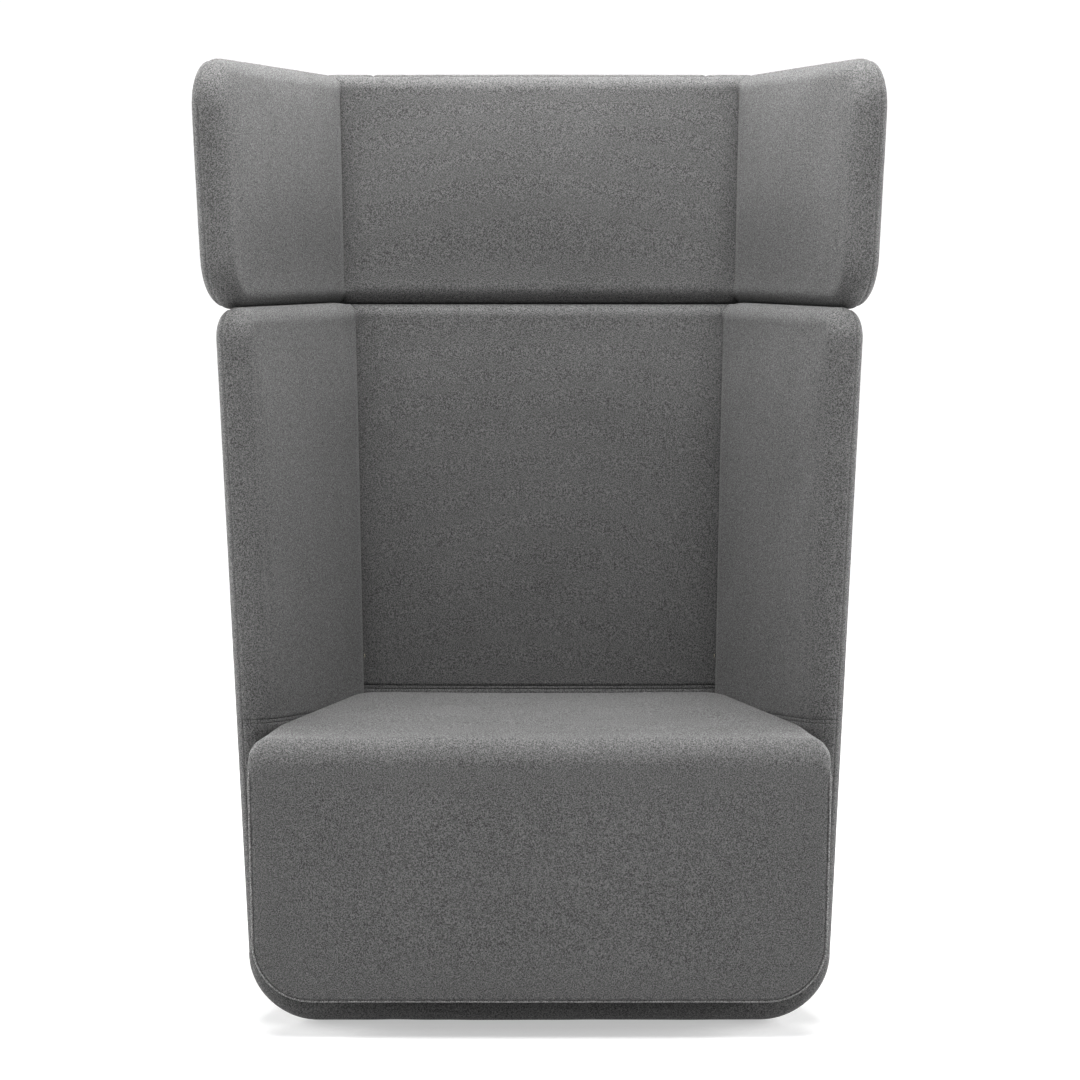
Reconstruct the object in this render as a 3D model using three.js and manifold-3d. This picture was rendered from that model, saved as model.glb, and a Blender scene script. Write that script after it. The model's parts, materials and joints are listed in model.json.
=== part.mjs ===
// Acoustic high back lounge chair: a padded basket body, a padded hood on top of it and a seat block
// that stands in the basket and comes out in front of it. Millimetres, +Z up, the chair faces -Y.
import * as THREE from "three";
import { mergeVertices } from "three/addons/utils/BufferGeometryUtils.js";
import Module from "manifold-3d";

const wasm = await Module();
wasm.setup();

// Driving dimensions of the whole chair
const chairHeight = 1300;
const glideHeight = 3;
const glideRadius = 20;
const glideStemRadius = 5;
const glideStemLength = 20;
const reclineAngle = 5.8;
const backThickness = 85;
const wallThickness = 46;
const backCornerRadius = 70;
const splayAngle = 13.4;

// Driving dimensions of the body
const bodyHalfWidth = 387;
const bodyFlareAngle = 2.7;
const bodyFrontCornerRadius = 45;
const bottomCornerRadius = 93;
const backBottomRadius = 60;
const backInnerAtFloor = 421;

// Driving dimensions of the hood
const hoodHeight = 333;
const hoodStep = 16;
const hoodFlareAngle = 2.7;
const hoodFrontCornerRadius = 70;

// Driving dimensions of the seat
const seatTop = 396;
const seatCrown = 4;
const seatProjection = 100;
const seatFrontCrown = 3;
const seatTopFrontRadius = 34;
const seatFrontRimRadius = 14;
const seatTopCornerRadius = 18;
const seatBottomCornerRadius = 80;
const seatFrontFlare = 0.02;

// Materials' thicknesses and the frame's sections
const coverThickness = 2;
const clothThickness = 1;
const boardThickness = 18;
const backOuterFoam = 11;
const boardEdgeFoam = 30;
const padCrown = 2.5;
const plateThickness = 3;
const plateWidth = 60;
const plateReach = 80;
const studRadius = 4;
const studLength = 24;
const studFromPlateEnd = 22;
const railThickness = 22;
const railHeight = 190;
const seatFrontFoam = 28;
const springWireRadius = 2;
const springCount = 3;
const springWaves = 9;
const springWidth = 44;
const boltRadius = 4;
const boltHeadRadius = 9;
const boltHeadHeight = 5;
const boltGrip = 40;
const coverReturn = 70;
const packerBack = 40;
const packerMargin = 8;
const clothMargin = 10;

const glideInset = 160;
const glideDepths = [105, 350];
const boltDepths = [150, 310];
const bracketDepth = 130;
const backBracketInset = 161;

// Clearances, and how far cuts run past what they cut
const gap = 0.3;
const seatClearance = 1;
const seamOutboard = 10;
const baseOverlap = 20;
const overcut = 1;
const far = 1500;

// Sections round a nose, round a back corner and along a face
const noseSteps = 5;
const cornerSteps = 4;
const faceSteps = 2;
const backSteps = 4;

const radians = THREE.MathUtils.degToRad;
const wallHalf = wallThickness / 2;
const bodyTop = chairHeight - hoodHeight;
const bodyBottom = glideHeight;
const curlHeight = bodyBottom + bottomCornerRadius;
const baseTop = bodyBottom + wallThickness;
const bodyFlare = Math.tan(radians(bodyFlareAngle));
const hoodFlare = Math.tan(radians(hoodFlareAngle));
const recline = Math.tan(radians(reclineAngle));
const splay = radians(splayAngle);
const hoodOffset = hoodStep * Math.cos(splay);
const hoodDrop = wallThickness - Math.sqrt(wallThickness ** 2 - hoodOffset ** 2);
const hoodBottom = bodyTop - hoodDrop + gap;

const colours = {
  fabric: { color: 0x6e6e70, roughness: 0.95, metalness: 0 },
  foam: { color: 0xe8e0c8, roughness: 0.9, metalness: 0 },
  plywood: { color: 0xd8b98a, roughness: 0.6, metalness: 0 },
  beech: { color: 0xc99a6b, roughness: 0.55, metalness: 0 },
  steel: { color: 0xa8abae, roughness: 0.35, metalness: 1 },
  plastic: { color: 0x202124, roughness: 0.5, metalness: 0 },
  cloth: { color: 0x18191b, roughness: 0.95, metalness: 0 },
};

// The inner face of the back, and its outer face, at a height
const backInner = (z) => backInnerAtFloor + recline * z;
const backOuter = (z) => backInner(z) + backThickness;

// A wall is a pair of splayed wings with a back between them. Its centre line in plan goes in as it
// runs back, at the splay angle; offsets are square to it, positive outwards.
const body = {
  top: bodyTop,
  bottom: bodyBottom,
  topRadius: bodyFrontCornerRadius,
  bottomRadius: 0,
  line: (z) => bodyHalfWidth + bodyFlare * z - wallHalf,
  centre: (z) => body.line(Math.max(z, curlHeight)),
};
const hood = {
  top: chairHeight,
  bottom: hoodBottom,
  topRadius: hoodFrontCornerRadius,
  bottomRadius: hoodFrontCornerRadius,
  line: (z) => body.line(bodyTop) + hoodStep + hoodFlare * (z - bodyTop),
  centre: (z) => hood.line(z),
};

// A point of a wing in plan: its offset across the wall, its depth and its height
function wingPoint(wall, offset, y, z, line = wall.centre) {
  return [line(z) + offset / Math.cos(splay) - (y - wallHalf) * Math.tan(splay), y];
}

const glidePlaces = glideDepths.map((y) => {
  const [x] = wingPoint(body, 0, y, curlHeight);
  return [x - glideInset, y];
});

// Points of a round corner between two directions that leave its sharp point
function roundCorner(corner, from, to, radius, steps) {
  const start = new THREE.Vector2(...from);
  const end = new THREE.Vector2(...to);
  const half = start.angleTo(end) / 2;
  const middle = start.clone().add(end).normalize();
  const centre = new THREE.Vector2(...corner).addScaledVector(middle, radius / Math.sin(half));
  const sharp = new THREE.Vector2(...corner);
  const first = sharp.clone().addScaledVector(start, radius / Math.tan(half)).sub(centre);
  const turn = Math.PI - 2 * half;
  const sign = Math.sign(start.cross(end)) || 1;
  const points = [];
  for (let i = 0; i <= steps; i++) {
    const p = first.clone().rotateAround(new THREE.Vector2(), (-sign * turn * i) / steps);
    points.push([centre.x + p.x, centre.y + p.y]);
  }
  return points;
}

// Heights of the sections through the bottom slab's round front edge, and through its top
function slabHeights(inset) {
  const middle = bodyBottom + wallHalf;
  const heights = [90, 55, 20, -20, -55].map((a) => middle - (wallHalf - inset) * Math.sin(radians(a)));
  return [...heights, baseTop - inset - gap, baseTop - inset];
}

// Heights of a wall's sections for an inset: the turn at the bottom, the straight and the round top
function wallHeights(wall, inset) {
  const heights = [];
  const half = wallHalf - inset;
  if (wall.bottomRadius === 0) {
    heights.push(...slabHeights(inset), curlHeight - (bottomCornerRadius - inset) * Math.sin(radians(15)));
    heights.push(curlHeight);
  } else {
    for (const angle of [85, 45, 0]) {
      heights.push(wall.bottom + wallHalf - half * Math.sin(radians(angle)));
    }
    heights.push(wall.bottom + (wallHalf + wall.bottomRadius) / 2, wall.bottom + wall.bottomRadius);
  }
  const low = heights[heights.length - 1];
  const high = wall.top - wall.topRadius;
  const steps = wall.bottomRadius === 0 ? 3 : 2;
  for (let i = 1; i <= steps; i++) heights.push(low + ((high - low) * i) / steps);
  heights.push(wall.top - (wallHalf + wall.topRadius) / 2);
  for (const angle of [0, 45, 85]) {
    heights.push(wall.top - wallHalf + half * Math.sin(radians(angle)));
  }
  return heights;
}

// How far past the centre of an edge's round a height lies, 0 on the straight
function pastRound(wall, z, radius) {
  if (wall.bottomRadius > 0 && z < wall.bottom + radius) return wall.bottom + radius - z;
  return Math.max(z - (wall.top - radius), 0);
}

// Offsets of the inner and outer face at a height, and how far the back's faces are drawn in
function wallFaces(wall, z, inset) {
  const half = wallHalf - inset;
  const past = Math.min(pastRound(wall, z, wallHalf), half);
  const thick = Math.sqrt(half * half - past * past);
  const faces = { inner: -thick, outer: thick, backIn: wallHalf - thick, backOut: wallHalf - thick };
  if (wall.bottomRadius > 0 || z >= curlHeight) return faces;
  const down = curlHeight - z;
  const middle = bottomCornerRadius - wallHalf;
  const outer = bottomCornerRadius - inset;
  const inner = bottomCornerRadius - wallThickness + inset;
  faces.outer = Math.sqrt(Math.max(outer * outer - down * down, 0)) - middle;
  faces.inner = down > inner ? -middle - baseOverlap : Math.sqrt(inner * inner - down * down) - middle;
  const backDown = Math.max(bodyBottom + backBottomRadius - z, 0);
  const backRound = backBottomRadius - inset;
  faces.backOut = backBottomRadius - Math.sqrt(Math.max(backRound ** 2 - backDown ** 2, 0));
  return faces;
}

// How far the nose stands out in front of the nose centre, at an offset and a height
function noseReach(wall, offset, z, inset) {
  const half = wallHalf - inset;
  let across = offset;
  if (wall.bottomRadius === 0 && z < curlHeight) {
    const middle = bottomCornerRadius - wallHalf;
    const down = curlHeight - z;
    across = (offset + middle > 0 ? Math.hypot(offset + middle, down) : down) - middle;
  }
  const reach = Math.sqrt(Math.max(half * half - across * across, 0));
  const low = wall.bottomRadius > 0 && z < (wall.bottom + wall.top) / 2;
  const radius = low ? wall.bottomRadius : wall.topRadius;
  const past = pastRound(wall, z, radius);
  if (past === 0) return reach;
  const cornerReach = radius - wallHalf + reach;
  return Math.sqrt(Math.max(cornerReach ** 2 - past ** 2, 0)) - (radius - wallHalf);
}


// How far a face bulges, from the share along it and the height
function bulge(wall, share, z) {
  const low = wall.bottomRadius > 0 ? wall.bottom : curlHeight;
  const up = (z - low) / (wall.top - low);
  return padCrown * Math.sin(Math.PI * share) * Math.sin(Math.PI * Math.min(Math.max(up, 0), 1));
}

// One half of a wall's plan outline at a height: nose, outer face and corner, then the inner face
function wallHalfOutline(wall, z, inset) {
  const faces = wallFaces(wall, z, inset);
  const outside = [];
  const bendStart = Math.max(faces.inner, wallHalf - bottomCornerRadius);
  for (let i = 0; i <= noseSteps; i++) {
    const share = (1 - Math.cos((Math.PI * i) / noseSteps)) / 2;
    const offset = i === 0 ? faces.inner : bendStart + (faces.outer - bendStart) * share;
    outside.push(wingPoint(wall, offset, wallHalf - noseReach(wall, offset, z, inset), z));
  }
  const outerY = backOuter(z) - faces.backOut;
  const start = wallHalf - noseReach(wall, faces.outer, z, inset);
  const radius = backCornerRadius - faces.backOut;
  for (let i = 1; i < faceSteps; i++) {
    const share = i / faceSteps;
    const y = start + (outerY - radius - start) * share;
    outside.push(wingPoint(wall, faces.outer + bulge(wall, share, z), y, z));
  }
  const corner = wingPoint(wall, faces.outer, outerY, z);
  const forward = [Math.sin(splay), -Math.cos(splay)];
  outside.push(...roundCorner(corner, forward, [-1, 0], radius, cornerSteps));
  const innerY = backInner(z) + faces.backIn;
  const inside = [wingPoint(wall, faces.inner, innerY, z)];
  const innerStart = wallHalf - noseReach(wall, faces.inner, z, inset);
  for (let i = 1; i < faceSteps; i++) {
    const share = i / faceSteps;
    const y = innerY + (innerStart - innerY) * share;
    inside.push(wingPoint(wall, faces.inner - bulge(wall, share, z), y, z));
  }
  return { outside, inside, outerY, innerY };
}

// The whole plan outline of a wall at a height, anticlockwise seen from above
function wallOutline(wall, z, inset) {
  const { outside, inside, outerY, innerY } = wallHalfOutline(wall, z, inset);
  const mirrored = (points) => points.map(([x, y]) => [-x, y]).reverse();
  const backEdge = outside[outside.length - 1][0];
  const innerEdge = inside[0][0];
  const backFace = [];
  const innerFace = [];
  for (let i = 1; i < backSteps; i++) {
    const share = i / backSteps;
    backFace.push([backEdge * (1 - 2 * share), outerY + bulge(wall, share, z)]);
    innerFace.push([innerEdge * (2 * share - 1), innerY - bulge(wall, share, z)]);
  }
  const loop = [...outside, ...backFace, ...mirrored(outside), ...mirrored(inside), ...innerFace];
  return [...loop, ...inside].map(([x, y]) => [x, y, z]);
}

// The two axes that a ring is seen best along
function ringPlane(ring) {
  const normal = new THREE.Vector3();
  const points = ring.map((p) => new THREE.Vector3(...p));
  const origin = points[0];
  points.forEach((p, i) => {
    const next = points[(i + 1) % points.length];
    normal.add(p.clone().sub(origin).cross(next.clone().sub(origin)));
  });
  const sizes = normal.toArray().map(Math.abs);
  const drop = sizes.indexOf(Math.max(...sizes));
  return [0, 1, 2].filter((axis) => axis !== drop);
}

// Triangles that fill a flat ring, each turning the way that the ring does: corners are cut off one
// by one, the fattest first, where no other point lies inside the corner
function fillRing(ring) {
  const [u, v] = ringPlane(ring);
  const flat = ring.map((p) => new THREE.Vector2(p[u], p[v]));
  const turn = Math.sign(THREE.ShapeUtils.area(flat));
  const area = (a, b, c) => turn * THREE.ShapeUtils.area([flat[a], flat[b], flat[c]]);
  const holds = (a, b, c, p) => area(a, b, p) >= 0 && area(b, c, p) >= 0 && area(c, a, p) >= 0;
  const left = ring.map((_, i) => i);
  const triangles = [];
  while (left.length > 2) {
    let best = 0;
    let most = -Infinity;
    left.forEach((b, i) => {
      const a = left[(i + left.length - 1) % left.length];
      const c = left[(i + 1) % left.length];
      const size = area(a, b, c);
      const around = Math.max(flat[a].distanceTo(flat[b]), flat[b].distanceTo(flat[c]), 1e-6);
      const score = size / (around * around);
      if (score <= most || size < -1e-9) return;
      if (size > 1e-9 && left.some((p) => p !== a && p !== b && p !== c && holds(a, b, c, p))) return;
      most = score;
      best = i;
    });
    const count = left.length;
    triangles.push([left[(best + count - 1) % count], left[best], left[(best + 1) % count]]);
    left.splice(best, 1);
  }
  return triangles;
}

const apart = (p, q) => Math.hypot(p[0] - q[0], p[1] - q[1], p[2] - q[2]);

// A closed solid through rings of as many points each, its two ends filled flat
function ringSolid(rings) {
  const count = rings[0].length;
  const index = [];
  for (let i = 0; i + 1 < rings.length; i++) {
    for (let j = 0; j < count; j++) {
      const next = (j + 1) % count;
      const [a, b] = [i * count + j, i * count + next];
      const [d, c] = [a + count, b + count];
      const rising = apart(rings[i][j], rings[i + 1][next]) <= apart(rings[i][next], rings[i + 1][j]);
      index.push(...(rising ? [a, b, c, a, c, d] : [a, b, d, b, c, d]));
    }
  }
  const last = (rings.length - 1) * count;
  for (const [a, b, c] of fillRing(rings[0])) index.push(a, c, b);
  for (const [a, b, c] of fillRing(rings[rings.length - 1])) index.push(last + a, last + b, last + c);
  const geometry = new THREE.BufferGeometry();
  geometry.setAttribute("position", new THREE.Float32BufferAttribute(rings.flat(2), 3));
  geometry.setIndex(index);
  return solidOf(geometry);
}

// A geometry as a solid that can be cut and joined
function solidOf(geometry) {
  const bare = geometry.clone();
  bare.deleteAttribute("normal");
  bare.deleteAttribute("uv");
  const merged = mergeVertices(bare, 1e-4);
  const triVerts = new Uint32Array(merged.index.array);
  const vertProperties = merged.attributes.position.array;
  const made = new wasm.Manifold(new wasm.Mesh({ numProp: 3, vertProperties, triVerts }));
  if (made.volume() >= 0) return made;
  for (let i = 0; i < triVerts.length; i += 3) {
    [triVerts[i + 1], triVerts[i + 2]] = [triVerts[i + 2], triVerts[i + 1]];
  }
  return new wasm.Manifold(new wasm.Mesh({ numProp: 3, vertProperties, triVerts }));
}

// A solid between two outlines, each a list of points
const between = (lower, upper) => ringSolid([lower, upper]);

// A plain box from its lowest to its highest corner
function block(low, high) {
  const size = high.map((value, i) => value - low[i]);
  const middle = high.map((value, i) => (value + low[i]) / 2);
  return solidOf(new THREE.BoxGeometry(...size).translate(...middle));
}

// A round bar along an axis from a start point
function bar(start, direction, length, radius, sides = 16) {
  const geometry = new THREE.CylinderGeometry(radius, radius, length, sides);
  geometry.translate(0, length / 2, 0);
  const turn = new THREE.Quaternion();
  turn.setFromUnitVectors(new THREE.Vector3(0, 1, 0), new THREE.Vector3(...direction).normalize());
  geometry.applyQuaternion(turn);
  return solidOf(geometry.translate(...start));
}

// A wall as one solid, its faces drawn in by an inset
function wallSolid(wall, inset) {
  return ringSolid(wallHeights(wall, inset).map((z) => wallOutline(wall, z, inset)));
}

const everywhere = [-wallThickness, chairHeight + wallThickness];

// The space between the two mitre faces at the back corners, wider by a margin
function backWedge(wall, margin) {
  const rings = everywhere.map((z) => {
    const inner = wingPoint(wall, -wallHalf, backInner(z), z);
    const outer = wingPoint(wall, wallHalf, backOuter(z), z);
    const way = new THREE.Vector2(outer[0] - inner[0], outer[1] - inner[1]).normalize();
    const at = (reach) => [inner[0] + way.x * reach + way.y * margin, inner[1] + way.y * reach];
    const [near, away] = [at(-wallHalf / 2), at(far / 5)];
    return [[-near[0], near[1], z], [...near, z], [...away, z], [-away[0], away[1], z]];
  });
  return between(rings[0], rings[1]);
}

// The middle panel of the back's outside, between the ends of the round corners
function backPanelSpace(wall, margin) {
  const rings = everywhere.map((z) => {
    const half = postEdge(wall, z) - padCrown + margin;
    return [[-half, 0, z], [half, 0, z], [half, far, z], [-half, far, z]];
  });
  return between(rings[0], rings[1]);
}

// Everything on the cavity's side of the seam that runs along the front and top edges
function insideSeam(wall, offset) {
  const rings = everywhere.map((z) => {
    const y = backInner(z) + wallHalf + offset;
    const front = wingPoint(wall, offset, -far / 4, z, wall.line);
    const back = wingPoint(wall, offset, y, z, wall.line);
    return [[-front[0], front[1], z], [...front, z], [...back, z], [-back[0], back[1], z]];
  });
  return between(rings[0], rings[1]);
}

const above = (z) => block([-far, -far, z], [far, far, z + far]);
const below = (z) => block([-far, -far, z - far], [far, far, z]);
const side = (sign) => block([sign < 0 ? -far : 0, -far, -far], [sign < 0 ? 0 : far, far, far]);

// The base slab between the wings' turned-in feet, its front edge round like the walls
function baseSolid(inset, reach) {
  return ringSolid(slabHeights(inset).map((z) => {
    const front = wallHalf - noseReach(body, -bottomCornerRadius, z, inset);
    const back = backInner(z) + inset + reach;
    const [near, away] = [baseEdge(front, reach), baseEdge(back, reach)];
    return [[-near, front, z], [near, front, z], [away, back, z], [-away, back, z]];
  }));
}

// Half the width of the base slab at a depth
function baseEdge(y, reach) {
  const offset = -(bottomCornerRadius - wallHalf) - baseOverlap;
  const [x] = wingPoint(body, offset, y, curlHeight);
  return x + reach;
}

// The seat block: half its width at a depth and height, held between the wings' inner faces and as
// wide as it likes once it has come a share of the way out
const freeShare = 0.8;
function seatHalfWidth(y, z) {
  const free = THREE.MathUtils.smoothstep(-y, 0, seatProjection * freeShare);
  const at = (height) => wingPoint(body, -wallHalf, y, height)[0];
  const held = at(z) - seatClearance - padCrown;
  const loose = at(seatTop) - seatFrontFlare * (seatTop - z);
  return held + (loose - held) * free;
}

const seatBottom = baseTop + gap;
const seatFace = -seatProjection + seatFrontCrown;
const drawnIn = (radius, depth) => {
  return depth >= radius ? 0 : radius - Math.sqrt(radius ** 2 - (radius - depth) ** 2);
};

// One section of the seat block, seen from the front, at a distance behind its front face; the top's
// crown leads by a share of its length
const crownLead = 0.08;
function seatSection(depth, inset) {
  const y = seatFace + inset + depth;
  const topIn = drawnIn(seatTopFrontRadius - inset, depth) + inset;
  const sideIn = drawnIn(seatFrontRimRadius - inset, depth) + inset;
  const bottom = seatBottom + sideIn;
  const top = seatTop - topIn;
  const topRadius = seatTopCornerRadius - inset;
  const bottomRadius = seatBottomCornerRadius - sideIn;
  const share = Math.min(Math.max((y - seatFace) / (backInner(seatTop) - seatFace), 0), 1);
  const crown = seatCrown * Math.sin(Math.PI * Math.min(share + crownLead, 1));
  const low = seatHalfWidth(y, bottom + bottomRadius) - sideIn;
  const high = seatHalfWidth(y, top - topRadius) - sideIn;
  const right = [[0, bottom], [(low - bottomRadius) / 2, bottom]];
  const turn = (x, z, radius, angle) => {
    right.push([x + radius * Math.cos(radians(angle)), z + radius * Math.sin(radians(angle))]);
  };
  for (const angle of [-90, -67.5, -45, -22.5, 0]) {
    turn(low - bottomRadius, bottom + bottomRadius, bottomRadius, angle);
  }
  right.push([(low + high) / 2, (bottom + bottomRadius + top - topRadius) / 2]);
  for (const angle of [0, 30, 60, 90]) turn(high - topRadius, top - topRadius, topRadius, angle);
  for (const across of [0.5, 0]) {
    right.push([(high - topRadius) * across, top + crown * (1 - across ** 2)]);
  }
  const left = right.slice(1, -1).map(([x, z]) => [-x, z]).reverse();
  return [...right, ...left].map(([x, z]) => [x, y, z]);
}

// The seat block as one solid: crowned front face, round edges, and its back along the chair's back
function seatSolid(inset) {
  const face = seatSection(0, inset);
  const middle = [0, seatFace + inset, (seatTop + seatBottom) / 2];
  const shrunk = (share, out) => face.map(([x, y, z]) => {
    return [x * share, y - out, middle[2] + (z - middle[2]) * share];
  });
  const rings = [shrunk(0.3, seatFrontCrown), shrunk(0.75, seatFrontCrown * 0.55), face];
  const rim = [0.15, 0.5, 1].map((share) => share * seatFrontRimRadius);
  const round = [0.68, 1].map((share) => share * seatTopFrontRadius);
  for (const depth of [...rim, ...round, seatProjection, 3 * seatProjection]) {
    rings.push(seatSection(depth, inset));
  }
  const back = seatSection(backInner(0) - seatFace - inset, inset);
  rings.push(back.map(([x, , z]) => [seatHalfScale(x, z), seatBack(z) - inset, z]));
  return ringSolid(rings);
}

// The depth of the seat block's back face at a height, and a width there
const seatBack = (z) => backInner(z) - seatClearance - padCrown;
const seatHalfScale = (x, z) => {
  return (x * seatHalfWidth(seatBack(z), z)) / seatHalfWidth(backInner(0), z);
};

// The flat that the hood's underside presses into the top of the body's back
const pressed = (depth) => {
  return block([-far, backInner(bodyTop) - coverThickness, hoodBottom - gap - depth], [far, far, far]);
};

// A straight board in a wing: between two offsets, from its front edge to a depth line, between heights
function wingBoard(wall, offsets, front, endDepth, heights, grow = 0) {
  const low = heights[0] - grow;
  const high = heights[1] + grow;
  const ring = (z) => {
    const [inner, outer] = [offsets[0] - grow, offsets[1] + grow];
    const end = endDepth(z) + grow;
    const corners = [[inner, front - grow], [outer, front - grow], [outer, end], [inner, end]];
    return corners.map(([offset, y]) => [...wingPoint(wall, offset, y, z, wall.line), z]);
  };
  return between(ring(low), ring(high));
}

// The board of a wall's back, between its posts
const boardIn = backThickness - backOuterFoam - boardThickness;
const boardOut = backThickness - backOuterFoam;
const postEdge = (wall, z) => {
  return wingPoint(wall, wallHalf, backOuter(z), z, wall.line)[0] - backCornerRadius;
};
function backBoard(wall, heights, grow = 0) {
  const ring = (z) => {
    const half = postEdge(wall, z) + grow;
    const near = backInner(z) + boardIn - grow;
    const away = backInner(z) + boardOut + grow;
    return [[-half, near, z], [half, near, z], [half, away, z], [-half, away, z]];
  };
  return between(ring(heights[0] - grow), ring(heights[1] + grow));
}

// The post in a back corner, from the wing board's end to the back board's end
const wingBoardEnd = (z) => backInner(z) + wallHalf;
function cornerPost(wall, offsets, heights, grow = 0) {
  const ring = (z) => {
    const from = (offset) => [...wingPoint(wall, offset, wingBoardEnd(z) + gap - grow, z, wall.line), z];
    const x = postEdge(wall, z) + gap - grow;
    const near = [x, backInner(z) + boardIn - grow, z];
    const away = [x, backInner(z) + boardOut + grow, z];
    return [from(offsets[0] - 2 * grow), from(offsets[1] + 2 * grow), away, near];
  };
  return between(ring(heights[0] - grow), ring(heights[1] + grow));
}

// The bent corner that joins a side board to the base board
const bendMiddle = bottomCornerRadius - wallHalf;
const bendInner = bendMiddle - boardThickness / 2;
const bendOuter = bendMiddle + boardThickness / 2;
function cornerBend(grow = 0) {
  const depths = [boardFront - grow, wingBoardEnd(0) + grow];
  const ring = (angle, past) => {
    const corner = (radius, y) => {
      const offset = radius * Math.cos(radians(angle)) - bendMiddle - (angle > 0 ? past : 0);
      const z = curlHeight - radius * Math.sin(radians(angle)) + (angle > 0 ? 0 : past);
      return [...wingPoint(body, offset, y, curlHeight), z];
    };
    const [inner, outer] = [bendInner - grow, bendOuter + grow];
    const [near, away] = depths;
    return [corner(inner, near), corner(outer, near), corner(outer, away), corner(inner, away)];
  };
  const rings = grow > 0 ? [ring(0, grow)] : [];
  for (let angle = 0; angle <= 90; angle += 15) rings.push(ring(angle, 0));
  if (grow > 0) rings.push(ring(90, grow));
  return ringSolid(rings);
}

// A flat piece of the base between two depths and two heights, as wide as the base at an offset
function basePlate(depths, heights, offset) {
  const half = (y) => wingPoint(body, offset, y, curlHeight)[0];
  const [near, away] = depths;
  const ring = (z) => {
    return [[-half(near), near, z], [half(near), near, z], [half(away), away, z], [-half(away), away, z]];
  };
  return between(ring(heights[0]), ring(heights[1]));
}

const mirror = (made) => made.mirror([1, 0, 0]);
const boardFront = boardEdgeFoam;
const foamInset = coverThickness + gap;
const boardHalf = boardThickness / 2;
const baseBoardLow = curlHeight - bendOuter;
const baseBoardHigh = curlHeight - bendInner;
const bodyBoardHeights = [curlHeight + gap, bodyTop - boardEdgeFoam];
const bodyBackHeights = [baseBoardHigh + gap, bodyTop - boardEdgeFoam];
const hoodBoardHeights = [hoodBottom + boardEdgeFoam, chairHeight - boardEdgeFoam];
const bodyOffsets = [-boardHalf, boardHalf];
const hoodBoardInner = boardHalf + plateThickness + 2 * gap - hoodOffset;
const hoodOffsets = [hoodBoardInner, hoodBoardInner + boardThickness];

// The steel brackets: a plate with two studs, one through each board that it joins
function wingBracket(grow = 0) {
  const face = boardHalf + gap;
  const middle = bracketDepth;
  const ring = (z) => {
    const near = middle - plateWidth / 2 - grow;
    const away = middle + plateWidth / 2 + grow;
    const inner = face - grow;
    const outer = face + plateThickness + grow;
    const corners = [[inner, near], [outer, near], [outer, away], [inner, away]];
    return corners.map(([offset, y]) => [...wingPoint(body, offset, y, z), z]);
  };
  const low = bodyTop - plateReach - grow;
  const high = bodyTop + plateReach + grow;
  const stud = (z, way) => {
    const start = [...wingPoint(body, face + plateThickness / 2, middle, z), z];
    return bar(start, [way * Math.cos(splay), way * Math.sin(splay), 0], studLength, studRadius + grow);
  };
  const studs = stud(low + grow + studFromPlateEnd, -1).add(stud(high - grow - studFromPlateEnd, 1));
  return between(ring(low), ring(high)).add(studs);
}

function backBracket(grow = 0) {
  const across = wingPoint(body, 0, backInner(bodyTop), bodyTop)[0] - backBracketInset;
  const ring = (z) => {
    const near = backInner(z) + boardIn - gap - plateThickness - grow;
    const away = near + plateThickness + 2 * grow;
    const edges = [across - plateWidth / 2 - grow, across + plateWidth / 2 + grow];
    return [[edges[0], near, z], [edges[1], near, z], [edges[1], away, z], [edges[0], away, z]];
  };
  const stud = (z) => {
    const start = [across, backInner(z) + boardIn - gap - plateThickness / 2, z];
    return bar(start, [0, 1, 0], studLength, studRadius + grow);
  };
  const low = bodyTop - plateReach;
  const high = bodyTop + plateReach;
  const studs = stud(low + studFromPlateEnd).add(stud(high - studFromPlateEnd));
  return between(ring(low - grow), ring(high + grow)).add(studs);
}

// All brackets with some room round them, which foam, covers and boards are cut by
const bracketRoom = [wingBracket(gap), mirror(wingBracket(gap)), backBracket(gap), mirror(backBracket(gap))]
  .reduce((all, one) => all.add(one));

const nodes = [];
function add(name, material, made) {
  const { vertProperties, triVerts } = made.getMesh();
  const geometry = new THREE.BufferGeometry();
  geometry.setAttribute("position", new THREE.BufferAttribute(vertProperties, 3));
  geometry.setIndex(new THREE.BufferAttribute(triVerts, 1));
  geometry.computeVertexNormals();
  const mesh = new THREE.Mesh(geometry, new THREE.MeshStandardMaterial(colours[material]));
  mesh.name = name;
  nodes.push(mesh);
}

// A piece and its mirror image: left is the sitter's left, on the +X side
function addPair(name, material, made) {
  add("left_" + name, material, made);
  add("right_" + name, material, mirror(made));
}

// The six covers of a wall: inner and outer, left, back and right
function addCovers(wall, prefix, shell, low) {
  const inner = shell.intersect(insideSeam(wall, seamOutboard)).intersect(above(low));
  const outer = shell.subtract(insideSeam(wall, seamOutboard + gap)).intersect(above(low));
  const leftSide = side(1);
  addPair(prefix + "inner_cover", "fabric", inner.subtract(backWedge(wall, gap)).intersect(leftSide));
  add(prefix + "back_inner_cover", "fabric", inner.intersect(backWedge(wall, 0)));
  addPair(prefix + "outer_cover", "fabric", outer.subtract(backPanelSpace(wall, gap)).intersect(leftSide));
  add(prefix + "back_outer_cover", "fabric", outer.intersect(backPanelSpace(wall, 0)));
}

const bodySkin = wallSolid(body, 0).subtract(pressed(0));
const bodyCore = wallSolid(body, coverThickness).subtract(pressed(coverThickness));
const bodyFilling = wallSolid(body, foamInset).subtract(pressed(foamInset));

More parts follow.
